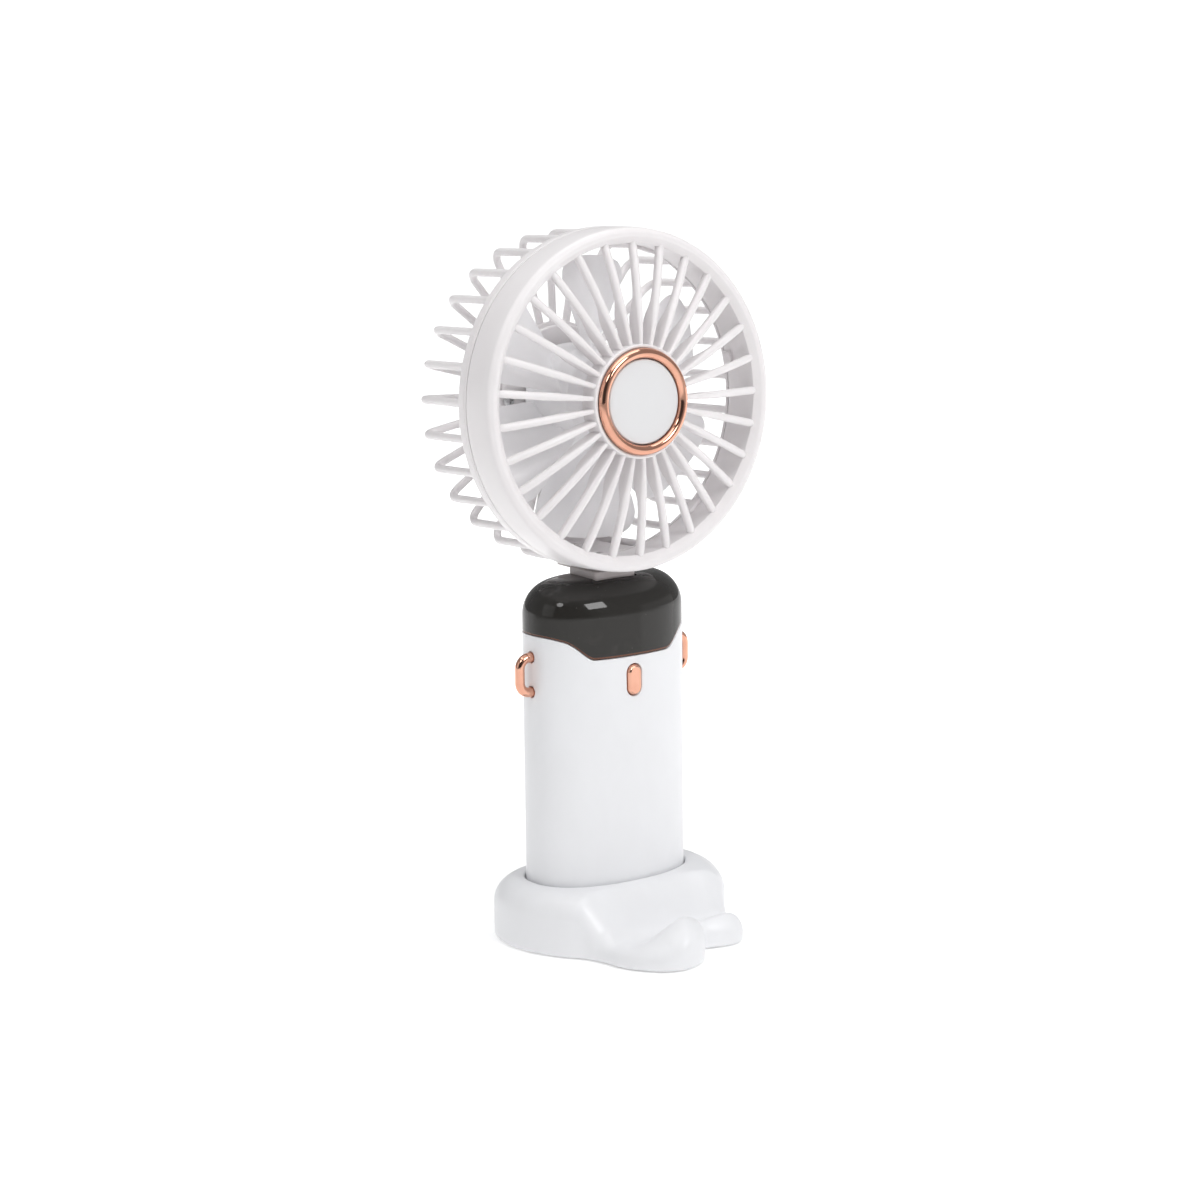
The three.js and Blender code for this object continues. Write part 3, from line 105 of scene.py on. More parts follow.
# button, loops, socket
BUTTON_LOW, BUTTON_HIGH = corners_of("power_button")
BUTTON_Z = (BUTTON_LOW[2] + BUTTON_HIGH[2]) / 2
BUTTON_W = 4.5
BUTTON_H = 8.8
BUTTON_ROOM = 0.6            # added to both for the hole it moves in
LOOP_LOW, LOOP_HIGH = corners_of("lanyard_loop_right")
LOOP_D = 2.8
LOOP_BEND = 3.0
PORT_LOW, PORT_HIGH = corners_of("charging_socket")
PORT_Z = (PORT_LOW[2] + PORT_HIGH[2]) / 2
PORT_W = PORT_HIGH[0] - PORT_LOW[0]
PORT_H = PORT_HIGH[2] - PORT_LOW[2]

# neck
NECK_LOW, NECK_HIGH = corners_of("neck_block")
NECK_W = NECK_HIGH[0] - NECK_LOW[0]
NECK_D = 13.5
NECK_FOOT = CAP_TOP - 8.4
NECK_TOP = NECK_HIGH[2] - 2.0
NECK_SCREWS = ("neck_screw_1", "neck_screw_2")
KNUCKLE_R = PIVOT_Z - NECK_LOW[2]
SLOT_X = NECK_W / 2 + GAP
SLOT_FRONT = -NECK_D / 2 - 0.55
SLOT_ROOM = 0.5              # round the knuckle
SLOT_FLOOR = PIVOT_Z - KNUCKLE_R - SLOT_ROOM
HINGE_BORE_R = 1.8
HINGE = shift(0, PIVOT_Y, PIVOT_Z)

# head
RING_R, _, HUB_FRONT = turned_size("front_grille")
_, CAGE_BACK, _ = turned_size("rear_grille")
RING_INNER_R = 43.4
RING_FRONT = 16.4
SEAM = 5.0
STRIP_REAR = 0.8
SPOKES = 29
FIRST_SPOKE = 98.15
SPOKE_TIP_R = 44.5
SPOKE_TIP_W = 15.1
SPOKE_HUB_W = HUB_FRONT - 0.7
SPOKE_T = 2.2
HOOKS = 6                    # catches between the two grilles
HUB_R = 15.85
HUB_SKIRT = 6.5
TRIM_OUTER_R, _, TRIM_FRONT = turned_size("hub_trim_ring")
TRIM_TUBE = 1.4
TRIM_R = TRIM_OUTER_R - TRIM_TUBE
DISC_R, DISC_REAR, DISC_FRONT = turned_size("hub_disc")
RIBS = 29
RIB_T = 2.3
CAGE_R = 47.2
CAGE_REAR = -CAGE_BACK - 0.3
CAGE_CORNER = 4
REAR_HUB_R = 21
CHIN_HALF_DEG = 15
BLADES = 6
FIRST_BLADE = 25
DRUM_R = 15
BLADE_R = 40
BLADE_T = 1.4
BLADE_BEND_R = 33            # the blades' outer corners are rounded from here
MOUNT_SCREW_R = 19
EAR_DEG = (180, 60, 300)

# stand
STAND_HALF_W = corners_of("stand_shell")[1][0]
STAND_HALF_D = 24
STAND_POWER = 2.4
STAND_SHIFT = -1
STAND_H = corners_of("stand_shell")[1][2]
STAND_EDGE = 7
RIM_Z = corners_of("stand_shell")[0][2]
PLATE_TOP = corners_of("stand_plate")[1][2]
SOCKET_FLOOR = HANDLE_BOTTOM - GAP
SOCKET_CLEAR = 0.4
WAIST_X = 22.2
WAIST_Y = -31
LEFT_REACH = -corners_of("stand_shell")[0][1]
RIGHT_REACH = 39.4
LOBE_SPLIT_X = 4.6
LEFT_LOBE_H = 13.2
RIGHT_LOBE_H = 10.0
GROOVE_H = 5.4

# studio, in metres and degrees
CAMERA_PLACE = Vector((-0.49499, -0.70279, 0.27113))
CAMERA_YAW, CAMERA_PITCH, CAMERA_ROLL = 35.113, -11.490, -0.697
LENS_MM = 92.31
FLOOR_HALF = 60
FLOOR_GLOW_NEAR = 0.18       # light that the sweep gives off in front of the fan
FLOOR_GLOW_FAR = 0.9         # and behind it
ROOM_LIGHT = 0.35
ROOM_DARK_SHARE = 0.15       # of it, left on the camera's side


# ------------------------------------------------------------------ plane outlines
def smooth(start, end, value):
    t = np.clip((value - start) / (end - start), 0, 1)
    return t * t * (3 - 2 * t)


def mix(a, b, share):
    return a + (b - a) * share


def polar(radius, degrees):
    angle = math.radians(degrees)
    return np.array([radius * math.cos(angle), radius * math.sin(angle), 0.0])


def even_spacing(points, count):
    """The same closed line with its points spread evenly along it."""
    line = np.vstack([points, points[:1]])
    along = np.r_[0, np.cumsum(np.linalg.norm(np.diff(line, axis=0), axis=1))]
    at = np.linspace(0, along[-1], count, endpoint=False)
    return np.column_stack([np.interp(at, along, line[:, k]) for k in range(line.shape[1])])


def handle_oval(inset):
    """Section of the handle, moved inwards: a squared-off oval."""
    a, b = HANDLE_A - inset, HANDLE_B - inset
    t = np.linspace(0, 2 * np.pi, 2880, endpoint=False)
    c, s = np.cos(t), np.sin(t)
    x = a * np.sign(c) * np.abs(c) ** (2 / HANDLE_POWER)
    y = b * np.sign(s) * np.abs(s) ** (2 / HANDLE_POWER)
    return even_spacing(np.column_stack([x, y]), 192)


def rounded(corners, steps=5, closed=True):
    """Outline through corners (x, y, radius), each corner with a radius turned into an arc."""
    points = []
    count = len(corners)
    for i, (x, y, radius) in enumerate(corners):
        corner = np.array([x, y], float)
        if radius <= 0 or (not closed and i in (0, count - 1)):
            points.append(corner)
            continue
        before = np.array(corners[i - 1][:2], float) - corner
        after = np.array(corners[(i + 1) % count][:2], float) - corner
        long_before, long_after = np.linalg.norm(before), np.linalg.norm(after)
        before, after = before / long_before, after / long_after
        half = math.acos(np.clip(before @ after, -1, 1)) / 2
        reach = min(radius / math.tan(half), 0.49 * long_before, 0.49 * long_after)
        radius = reach * math.tan(half)
        middle = corner + (before + after) / np.linalg.norm(before + after) * radius / math.sin(half)
        start, end = corner + before * reach - middle, corner + after * reach - middle
        sweep = math.pi - 2 * half
        for k in range(steps + 1):
            share = k / steps
            weight = math.sin(sweep) or 1
            points.append(middle + (math.sin((1 - share) * sweep) * start
                                    + math.sin(share * sweep) * end) / weight)
    return np.array(points)


def pill(width, height, count=48):
    """Slot shape, standing upright."""
    r, straight = width / 2, (height - width) / 2
    half = count // 2
    turn = np.linspace(0, np.pi, half)
    top = np.column_stack([r * np.cos(turn), straight + r * np.sin(turn)])
    return np.vstack([top, -top])


def through(points, count):
    """Closed centripetal curve through points."""
    p = np.array(points, float)
    n = len(p)
    line = []
    for i in range(n):
        p0, p1, p2, p3 = (p[(i + k) % n] for k in (-1, 0, 1, 2))
        d = [np.linalg.norm(b - a) ** 0.5 for a, b in ((p0, p1), (p1, p2), (p2, p3))]
        m1 = ((p1 - p0) / d[0] - (p2 - p0) / (d[0] + d[1]) + (p2 - p1) / d[1]) * d[1]
        m2 = ((p2 - p1) / d[1] - (p3 - p1) / (d[1] + d[2]) + (p3 - p2) / d[2]) * d[1]
        t = np.linspace(0, 1, 24, endpoint=False)[:, None]
        line.append((2 * t**3 - 3 * t**2 + 1) * p1 + (t**3 - 2 * t**2 + t) * m1
                    + (3 * t**2 - 2 * t**3) * p2 + (t**3 - t**2) * m2)
    return even_spacing(np.vstack(line), count)


# ------------------------------------------------------------------ meshes
def new_object(name, data):
    """An object in the scene, at the origin, unturned and unscaled."""
    obj = bpy.data.objects.new(name, data)
    bpy.context.scene.collection.objects.link(obj)
    return obj


def mesh_object(name, points, faces, sharp=40, place=None):
    """A closed mesh with its doubles merged and its faces pointing out, in metres."""
    mesh = bpy.data.meshes.new(name)
    mesh.from_pydata([tuple(p) for p in np.asarray(points) * MM], [], faces)
    if place is not None:
        mesh.transform(place)
    tidy(mesh, sharp)
    return new_object(name, mesh)


def tidy(mesh, sharp=40):
    """Merges doubles, points the faces out and shades smooth up to the sharp angle in degrees."""
    work = bmesh.new()
    work.from_mesh(mesh)
    bmesh.ops.remove_doubles(work, verts=work.verts, dist=2e-7)
    bmesh.ops.recalc_face_normals(work, faces=work.faces)
    work.to_mesh(mesh)
    work.free()
    mesh.shade_smooth()
    mesh.set_sharp_from_angle(angle=math.radians(sharp))


def skin(rings, wrap=False, poles=(False, False)):
    """Points and faces over rings of points; wrap joins the last ring to the first, a pole closes an end."""
    rings = np.asarray(rings, float)
    rows, count = rings.shape[:2]
    points = rings.reshape(-1, 3)
    faces = []
    for k in range(rows if wrap else rows - 1):
        a, b = k * count, ((k + 1) % rows) * count
        faces += [(a + i, a + (i + 1) % count, b + (i + 1) % count, b + i) for i in range(count)]
    for pole, row in zip(poles, (0, rows - 1)):
        if pole:
            points = np.vstack([points, rings[row].mean(0)])
            middle, a = len(points) - 1, row * count
            faces += [(a + i, a + (i + 1) % count, middle) for i in range(count)]
    return points, faces


def level(outline, z):
    """A plane outline as a ring at height z, which may vary along it."""
    return np.column_stack([outline, np.broadcast_to(z, len(outline))])


def turned(name, profile, segments=192, sharp=40, place=HEAD):
    """Solid of revolution about Z; profile points are (radius, height), closed or from pole to pole."""
    angle = np.linspace(0, 2 * np.pi, segments, endpoint=False)
    c, s = np.cos(angle), np.sin(angle)
    rings = [np.column_stack([r * c, r * s, np.full(segments, w)]) for r, w in profile]
    closed = profile[0][0] > 0
    return mesh_object(name, *skin(rings, wrap=closed), sharp=sharp, place=place)


def shrink(outline, distance):
    """Moves a counter-clockwise outline inwards along its normals."""
    along = np.roll(outline, -1, 0) - np.roll(outline, 1, 0)
    along /= np.maximum(np.linalg.norm(along, axis=1, keepdims=True), 1e-9)
    return outline + distance * np.column_stack([-along[:, 1], along[:, 0]])


def rim(outline, z, edge, turns, up=1, out=1):
    """Rings round an edge, 90 on its flat side and 0 on the wall; up=-1 for a top edge, out=-1 for a hole."""
    angles = [math.radians(turn) for turn in turns]
    return [level(shrink(outline, out * edge * (1 - math.cos(t))), z + up * edge * (1 - math.sin(t)))
            for t in angles]


def prism(name, outline, z0, z1, edge=0.3, place=None):
    """Upright solid on a plane outline with rounded edges."""
    rings = rim(outline, z0, edge, (90, 60, 30, 0)) + rim(outline, z1, edge, (0, 30, 60, 90), up=-1)
    return mesh_object(name, *skin(rings, poles=(True, True)), place=place)


def block(name, x0, x1, y0, y1, z0, z1, corner=0.6, edge=0.3, place=None, steps=4):
    """Box with rounded upright corners and rounded rims."""
    corners = [(x0, y0, corner), (x1, y0, corner), (x1, y1, corner), (x0, y1, corner)]
    return prism(name, rounded(corners, steps), z0, z1, edge, place=place)


def apply_modifiers(obj):
    """Makes the object's finished shape its plain mesh."""
    made = bpy.data.meshes.new_from_object(obj.evaluated_get(bpy.context.evaluated_depsgraph_get()))
    obj.modifiers.clear()
    obj.data = made


def combine(obj, others, operation, sharp=40):
    """Boolean of obj with each of the others, which are used up."""
    for other in others:
        step = obj.modifiers.new(operation.lower(), "BOOLEAN")
        step.operation = operation
        step.solver = "EXACT"
        step.object = other
        apply_modifiers(obj)
        bpy.data.objects.remove(other)
    tidy(obj.data, sharp)
    return obj


def cut(obj, *others, sharp=40):
    return combine(obj, others, "DIFFERENCE", sharp)


def fuse(obj, *others, sharp=40):
    return combine(obj, others, "UNION", sharp)


def gather(name, objects):
    """One object from several, which are used up."""
    work = bmesh.new()
    for obj in objects:
        work.from_mesh(obj.data)
        bpy.data.objects.remove(obj)
    mesh = bpy.data.meshes.new(name)
    work.to_mesh(mesh)
    work.free()
    return new_object(name, mesh)


# Turns for solids that are drawn lying and then face the front or a side.
FACING_FRONT = Matrix.Rotation(math.pi / 2, 4, "X")      # drawn y becomes z, drawn z becomes -y
FACING_BACK = Matrix.Rotation(-math.pi / 2, 4, "X")      # drawn y becomes -z, drawn z becomes y
FACING_SIDE = Matrix.Rotation(math.pi / 2, 4, "Y")       # drawn z becomes x
ON_ITS_SIDE = Matrix.Rotation(math.pi / 2, 4, "Z")       # drawn x becomes y


# ------------------------------------------------------------------ node trees
class Wire:
    """A socket in a node tree; arithmetic on it adds Math nodes."""

    def __init__(self, graph, socket):
        self.graph = graph
        self.socket = socket

    def math(self, operation, *values):
        return self.graph.node("ShaderNodeMath", {"operation": operation}, dict(enumerate(values)))

    def __add__(self, other):
        return self.math("ADD", self, other)

    def __radd__(self, other):
        return self.math("ADD", other, self)

    def __sub__(self, other):
        return self.math("SUBTRACT", self, other)

    def __rsub__(self, other):
        return self.math("SUBTRACT", other, self)

    def __mul__(self, other):
        return self.math("MULTIPLY", self, other)

    def __rmul__(self, other):
        return self.math("MULTIPLY", other, self)


class Graph:
    """Builds a node tree of any kind."""

    def __init__(self, tree):
        self.tree = tree

    def node(self, kind, settings=None, values=None, out=0):
        made = self.tree.nodes.new(kind)
        for name, value in (settings or {}).items():
            setattr(made, name, value)
        for name, value in (values or {}).items():
            socket = made.inputs[name]
            if isinstance(value, Wire):
                self.tree.links.new(value.socket, socket)
            else:
                socket.default_value = value
        return Wire(self, made.outputs[out]) if made.outputs else made


class Finish(Graph):
    """A procedural material; patterns are in Object coordinates, sizes in metres."""

    def __init__(self, name):
        self.material = bpy.data.materials.new(name)
        self.material.use_nodes = True
        super().__init__(self.material.node_tree)
        self.shader = self.tree.nodes["Principled BSDF"]
        self.place = self.node("ShaderNodeTexCoord", out="Object")

    def stretched(self, x, y, z):
        return self.node("ShaderNodeMapping", values={"Vector": self.place, "Scale": (x, y, z)})

    def noise(self, size, detail=2.0, distortion=0.0, place=None):
        """Noise from 0 to 1 whose patches are about size metres across."""
        values = {"Vector": place or self.place, "Scale": 1 / size, "Detail": detail,
                  "Distortion": distortion}
        return self.node("ShaderNodeTexNoise", values=values)

    def band(self, value, low, high, from_value=0.0, to_value=1.0):
        """value mapped from low..high to from_value..to_value, held at the ends."""
        return self.node("ShaderNodeMapRange", {"interpolation_type": "SMOOTHSTEP"},
                         {0: value, 1: low, 2: high, 3: from_value, 4: to_value})

    def blend(self, share, a, b):
        """Colour between a and b."""
        made = self.tree.nodes.new("ShaderNodeMix")
        made.data_type = "RGBA"
        for index, value in ((0, share), (6, a), (7, b)):
            if isinstance(value, Wire):
                self.tree.links.new(value.socket, made.inputs[index])
            elif index == 0:
                made.inputs[0].default_value = value
            else:
                made.inputs[index].default_value = (*value, 1)
        return Wire(self, made.outputs[2])

    def bump(self, height, depth, strength=1.0, normal=None):
        """Normal from a height of 0 to 1 that stands for depth metres."""
        values = {"Height": height, "Distance": depth, "Strength": strength}
        if normal is not None:
            values["Normal"] = normal
        return self.node("ShaderNodeBump", values=values)

    def set(self, **sockets):
        """Fills the shader's sockets and gives the material."""
        for name, value in sockets.items():
            socket = self.shader.inputs[name.replace("_", " ")]
            if isinstance(value, Wire):
                self.tree.links.new(value.socket, socket)
            else:
                socket.default_value = (*value, 1) if isinstance(value, tuple) and len(value) == 3 else value
        return self.material


# ------------------------------------------------------------------ finishes
def moulded_plastic(name, color, shade, rough=0.34, grain_depth=8e-6):
    """White moulding: fine eroded grain, a faint cloud in colour and gloss, hair scuffs."""
    f = Finish(name)
    cloud = f.noise(0.022, detail=3)
    grain = f.noise(0.00035, detail=2)
    flow = f.noise(0.006, detail=2, distortion=0.6, place=f.stretched(1, 1, 0.35))
    scuff = f.band(f.noise(0.0016, detail=4, place=f.stretched(1, 1, 0.12)), 0.66, 0.74)
    tone = f.band(cloud, 0.3, 0.7) * 0.7 + f.band(flow, 0.35, 0.65) * 0.3
    return f.set(Base_Color=f.blend(tone, color, shade),
                 Roughness=rough + (flow - 0.5) * 0.06 + (grain - 0.5) * 0.08 + scuff * 0.05,
                 IOR=1.5, Coat_Weight=0.0,
                 Normal=f.bump(grain, grain_depth, 0.5, f.bump(flow, 1.2e-5, 0.5)))


def gloss_black(name):
    """Charcoal gloss moulding with smudges, dust specks, fine swirls and a painted reflection, a coppery line, on
    its lower edge.
    """
    f = Finish(name)
    smudge = f.band(f.noise(0.007, detail=4, distortion=0.8), 0.52, 0.72)
    low_part = f.node("ShaderNodeSeparateXYZ", values={0: f.place}, out="Z")
    handled = f.band(low_part, (CAP_SIDE_Z + 4) * MM, BIB_Z * MM)
    specks = f.node("ShaderNodeTexVoronoi", {"feature": "F1"},
                    {"Vector": f.place, "Scale": 1 / 0.0016, "Randomness": 1.0}, out="Distance")
    dust = f.band(specks, 0.10, 0.04) * f.band(f.noise(0.004), 0.5, 0.6)
    swirl = f.noise(0.0011, detail=3, distortion=2.5)
    ripple = f.noise(0.012, detail=1)
    # painted reflection: a coppery line where the rim attribute is 1, on the cap's lower edge, stands for the
    # rose-gold glint along the seam
    painted_reflection_line = f.band(f.node("ShaderNodeAttribute", {"attribute_name": "rim"}, out="Fac"), 0.55, 0.8)
    charcoal = f.blend(dust * 0.35 + smudge * handled * 0.05, (0.026, 0.0243, 0.0222), (0.22, 0.2, 0.18))
    return f.set(Base_Color=f.blend(painted_reflection_line, charcoal, (0.15, 0.065, 0.042)),
                 Roughness=0.055 + smudge * handled * 0.12 + dust * 0.4 + (swirl - 0.5) * 0.03,
                 IOR=1.40, Normal=f.bump(ripple, 2.0e-5, 0.35))


def rose_gold(name):
    """Polished plating with a faint orange peel and lapping marks."""
    f = Finish(name)
    peel = f.noise(0.0014, detail=2)
    lapping = f.noise(0.0005, detail=3, distortion=1.5)
    patch = f.noise(0.006, detail=2)
    return f.set(Base_Color=f.blend(f.band(patch, 0.35, 0.65), (0.83, 0.45, 0.325), (0.78, 0.40, 0.285)),
                 Metallic=1.0, Roughness=0.085 + (lapping - 0.5) * 0.08 + f.band(patch, 0.5, 0.8) * 0.04,
                 Normal=f.bump(peel, 6e-6, 0.5))


def plated_steel(name, color, shade, rough=0.3):
    """Zinc-plated steel with turning marks and a mottled plating."""
    f = Finish(name)
    mottle = f.noise(0.0012, detail=3)
    lines = f.noise(0.0004, detail=2, place=f.stretched(0.15, 1, 1))
    stain = f.band(f.noise(0.003, detail=3), 0.55, 0.75)
    return f.set(Base_Color=f.blend(mottle * 0.6 + stain * 0.4, color, shade), Metallic=0.95,
                 Roughness=rough + (mottle - 0.5) * 0.18 + stain * 0.1,
                 Normal=f.bump(lines, 1e-5, 0.5))


def soft_rubber(name):
    """Dark rubber with a fine speckle and a light bloom."""
    f = Finish(name)
    speckle = f.noise(0.0004, detail=3)
    bloom = f.band(f.noise(0.008, detail=3), 0.45, 0.75)
    return f.set(Base_Color=f.blend(bloom * 0.5 + speckle * 0.2, (0.028, 0.028, 0.03), (0.075, 0.074, 0.074)),
                 Roughness=0.72 + (speckle - 0.5) * 0.2, Normal=f.bump(speckle, 3e-5, 0.8))


def circuit_board(name):
    """Green solder mask over copper tracks, with tinned pads."""
    f = Finish(name)
    upright = f.node("ShaderNodeMapping", values={"Vector": f.place, "Rotation": (math.pi / 2, 0, 0)})
    tracks = f.node("ShaderNodeTexBrick", {"offset": 0.37},
                    {"Vector": upright, "Scale": 420.0, "Mortar Size": 0.035}, out="Fac")
    dots = f.node("ShaderNodeTexVoronoi", {"feature": "F1"},
                  {"Vector": f.place, "Scale": 1 / 0.0022}, out="Distance")
    pads = f.band(dots, 0.26, 0.22)
    mask = f.blend(tracks, (0.012, 0.12, 0.045), (0.03, 0.21, 0.085))
    return f.set(Base_Color=f.blend(pads, mask, (0.62, 0.6, 0.55)), Metallic=pads * 0.9,
                 Roughness=0.32 - pads * 0.08 + (f.noise(0.0007) - 0.5) * 0.1,
                 Normal=f.bump(tracks + pads, 3e-5, 0.8))


def cell_wrap(name):
    """Blue heat-shrunk film, slightly wrinkled towards the ends."""
    f = Finish(name)
    wrinkle = f.noise(0.0035, detail=3, place=f.stretched(1, 1, 0.3))
    return f.set(Base_Color=f.blend(f.band(wrinkle, 0.3, 0.7), (0.02, 0.1, 0.34), (0.035, 0.15, 0.44)),
                 Roughness=0.24 + (wrinkle - 0.5) * 0.2, Normal=f.bump(wrinkle, 1.2e-4, 0.6))


def lead_skin(name, color, shade):
    """Lead insulation with faint length marks."""
    f = Finish(name)
    marks = f.noise(0.0009, detail=2, place=f.stretched(1, 1, 0.3))
    return f.set(Base_Color=f.blend(marks, color, shade),
                 Roughness=0.38 + (marks - 0.5) * 0.15, Normal=f.bump(marks, 1.5e-5, 0.6))


FINISHES = {
    "shell_white": moulded_plastic("satin_white", (0.83, 0.834, 0.853), (0.85, 0.855, 0.875)),
    # the neck is white like the grille; its grey-brown here is painted shade for the shadow it sits in under the
    # head
    "neck_white": moulded_plastic("neck_white", (0.60, 0.55, 0.545), (0.57, 0.52, 0.515), rough=0.4),
    "grille_white": moulded_plastic("grille_white", (0.86, 0.835, 0.84), (0.845, 0.815, 0.822), rough=0.32),
    "disc_white": moulded_plastic("disc_white", (0.77, 0.77, 0.78), (0.76, 0.76, 0.77), rough=0.42,
                                  grain_depth=5e-6),
    "impeller_white": moulded_plastic("impeller_white", (0.945, 0.94, 0.95), (0.93, 0.92, 0.935), rough=0.3),
    "cap_black": gloss_black("gloss_charcoal"),
    "rose_metal": rose_gold("rose_gold_plating"),
    "zinc_steel": plated_steel("zinc_plate", (0.58, 0.585, 0.6), (0.45, 0.44, 0.42)),
    "black_screw": plated_steel("black_oxide", (0.05, 0.042, 0.042), (0.09, 0.07, 0.065), rough=0.42),
    "foot_rubber": soft_rubber("foot_rubber"),
    "circuit_board": circuit_board("circuit_board"),
    "display_dark": gloss_black("smoked_window"),
    "cell_wrap": cell_wrap("blue_cell_wrap"),
    "red_lead": lead_skin("red_insulation", (0.42, 0.02, 0.016), (0.3, 0.013, 0.012)),
    "pale_lead": lead_skin("pale_insulation", (0.8, 0.77, 0.76), (0.72, 0.69, 0.68)),
}
SLOT_OF = {part["node"]: part["material_slot"] for part in frame["record"]["subparts"]}
BODY_OF = {node: body for body, nodes in frame["record"]["behaviour"]["bodies"].items() for node in nodes}


def fit(obj, *nodes):
    """Puts a piece in the place of CAD nodes, with their finish, on their body."""
    slot = SLOT_OF[nodes[0]]
    obj.data.materials.clear()
    obj.data.materials.append(FINISHES[slot])
    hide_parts(*nodes)
    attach(obj, BODY_OF[nodes[0]])


# ------------------------------------------------------------------ repeated pieces
def group_tree(name, inputs):
    """An empty geometry tree with a Geometry input, the named inputs and one output."""
    tree = bpy.data.node_groups.new(name, "GeometryNodeTree")
    tree.interface.new_socket("Geometry", in_out="INPUT", socket_type="NodeSocketGeometry")
    for label, kind in inputs:
        tree.interface.new_socket(label, in_out="INPUT", socket_type="NodeSocket" + kind)
    tree.interface.new_socket("Geometry", in_out="OUTPUT", socket_type="NodeSocketGeometry")
    graph = Graph(tree)
    start = tree.nodes.new("NodeGroupInput")
    return graph, {s.name: Wire(graph, s) for s in start.outputs if s.name}


def close_tree(graph, geometry, material):
    """Realizes the copies, gives them their material and ends the tree."""
    real = graph.node("GeometryNodeRealizeInstances", values={0: geometry})
    done = graph.node("GeometryNodeSetMaterial", values={"Geometry": real, "Material": material})
    graph.node("NodeGroupOutput", values={0: done})
    return graph.tree


def turned_copies(graph, shape, start):
    """Copies of a shape turned about Z, one every Step from First."""
    points = graph.node("GeometryNodePoints", values={"Count": start["Count"], "Position": (0, 0, 0)})
    index = graph.node("GeometryNodeInputIndex")
    turn = graph.node("ShaderNodeCombineXYZ", values={"Z": start["First"] + index * start["Step"]})
    rotation = graph.node("FunctionNodeEulerToRotation", values={0: turn})
    return graph.node("GeometryNodeInstanceOnPoints",
                      values={"Points": points, "Instance": shape, "Rotation": rotation})


def ring_of_copies():
    inputs = [("Count", "Int"), ("First", "Float"), ("Step", "Float"), ("Material", "Material")]
    graph, start = group_tree("ring_of_copies", inputs)
    return close_tree(graph, turned_copies(graph, start["Geometry"], start), start["Material"])


def ring_of_bars():
    """Bars of round section that follow the input line with its corners rounded, turned about Z."""
    inputs = [("Count", "Int"), ("First", "Float"), ("Step", "Float"), ("Bar Radius", "Float"),
              ("Corner Radius", "Float"), ("Material", "Material")]
    graph, start = group_tree("ring_of_bars", inputs)
    line = graph.node("GeometryNodeMeshToCurve", values={0: start["Geometry"]})
    route = graph.node("GeometryNodeFilletCurve", {"mode": "POLY"},
                       {"Curve": line, "Count": 8, "Radius": start["Corner Radius"]})
    section = graph.node("GeometryNodeCurvePrimitiveCircle", {"mode": "RADIUS"},
                         {"Resolution": 14, "Radius": start["Bar Radius"]})
    bar = graph.node("GeometryNodeCurveToMesh",
                     values={"Curve": route, "Profile Curve": section, "Fill Caps": True})
    return close_tree(graph, turned_copies(graph, bar, start), start["Material"])


def copies_on_points():
    """The placed object, turned by Turn, on each point of the input mesh."""
    inputs = [("Placed", "Object"), ("Turn", "Vector"), ("Material", "Material")]
    graph, start = group_tree("copies_on_points", inputs)
    placed = graph.node("GeometryNodeObjectInfo", values={"Object": start["Placed"]}, out="Geometry")
    rotation = graph.node("FunctionNodeEulerToRotation", values={0: start["Turn"]})
    copies = graph.node("GeometryNodeInstanceOnPoints",
                        values={"Points": start["Geometry"], "Instance": placed, "Rotation": rotation})
    return close_tree(graph, copies, start["Material"])


RING_OF_COPIES = ring_of_copies()
RING_OF_BARS = ring_of_bars()
COPIES_ON_POINTS = copies_on_points()


def grow(obj, tree, place=None, sharp=40, **inputs):
    """Runs a geometry tree on an object, keeps the result as its mesh and moves it into place."""
    modifier = obj.modifiers.new(tree.name, "NODES")
    modifier.node_group = tree
    for item in tree.interface.items_tree:
        if item.in_out == "INPUT" and item.name in inputs:
            modifier[item.identifier] = inputs[item.name]
    apply_modifiers(obj)
    if place is not None:
        obj.data.transform(place)
    tidy(obj.data, sharp)
    return obj


def repeated(obj, count, first_deg, step_deg, slot, place=None):
    """Copies of a piece turned about Z, then moved into place."""
    return grow(obj, RING_OF_COPIES, place, Count=count, First=math.radians(first_deg),
                Step=math.radians(step_deg), Material=FINISHES[slot])


# ------------------------------------------------------------------ stand
def oval_reach(c, s, a, b, power):
    """Distance from the middle to a squared-off oval in the direction (c, s)."""
    return (np.abs(c / a) ** power + np.abs(s / b) ** power) ** (-1 / power)


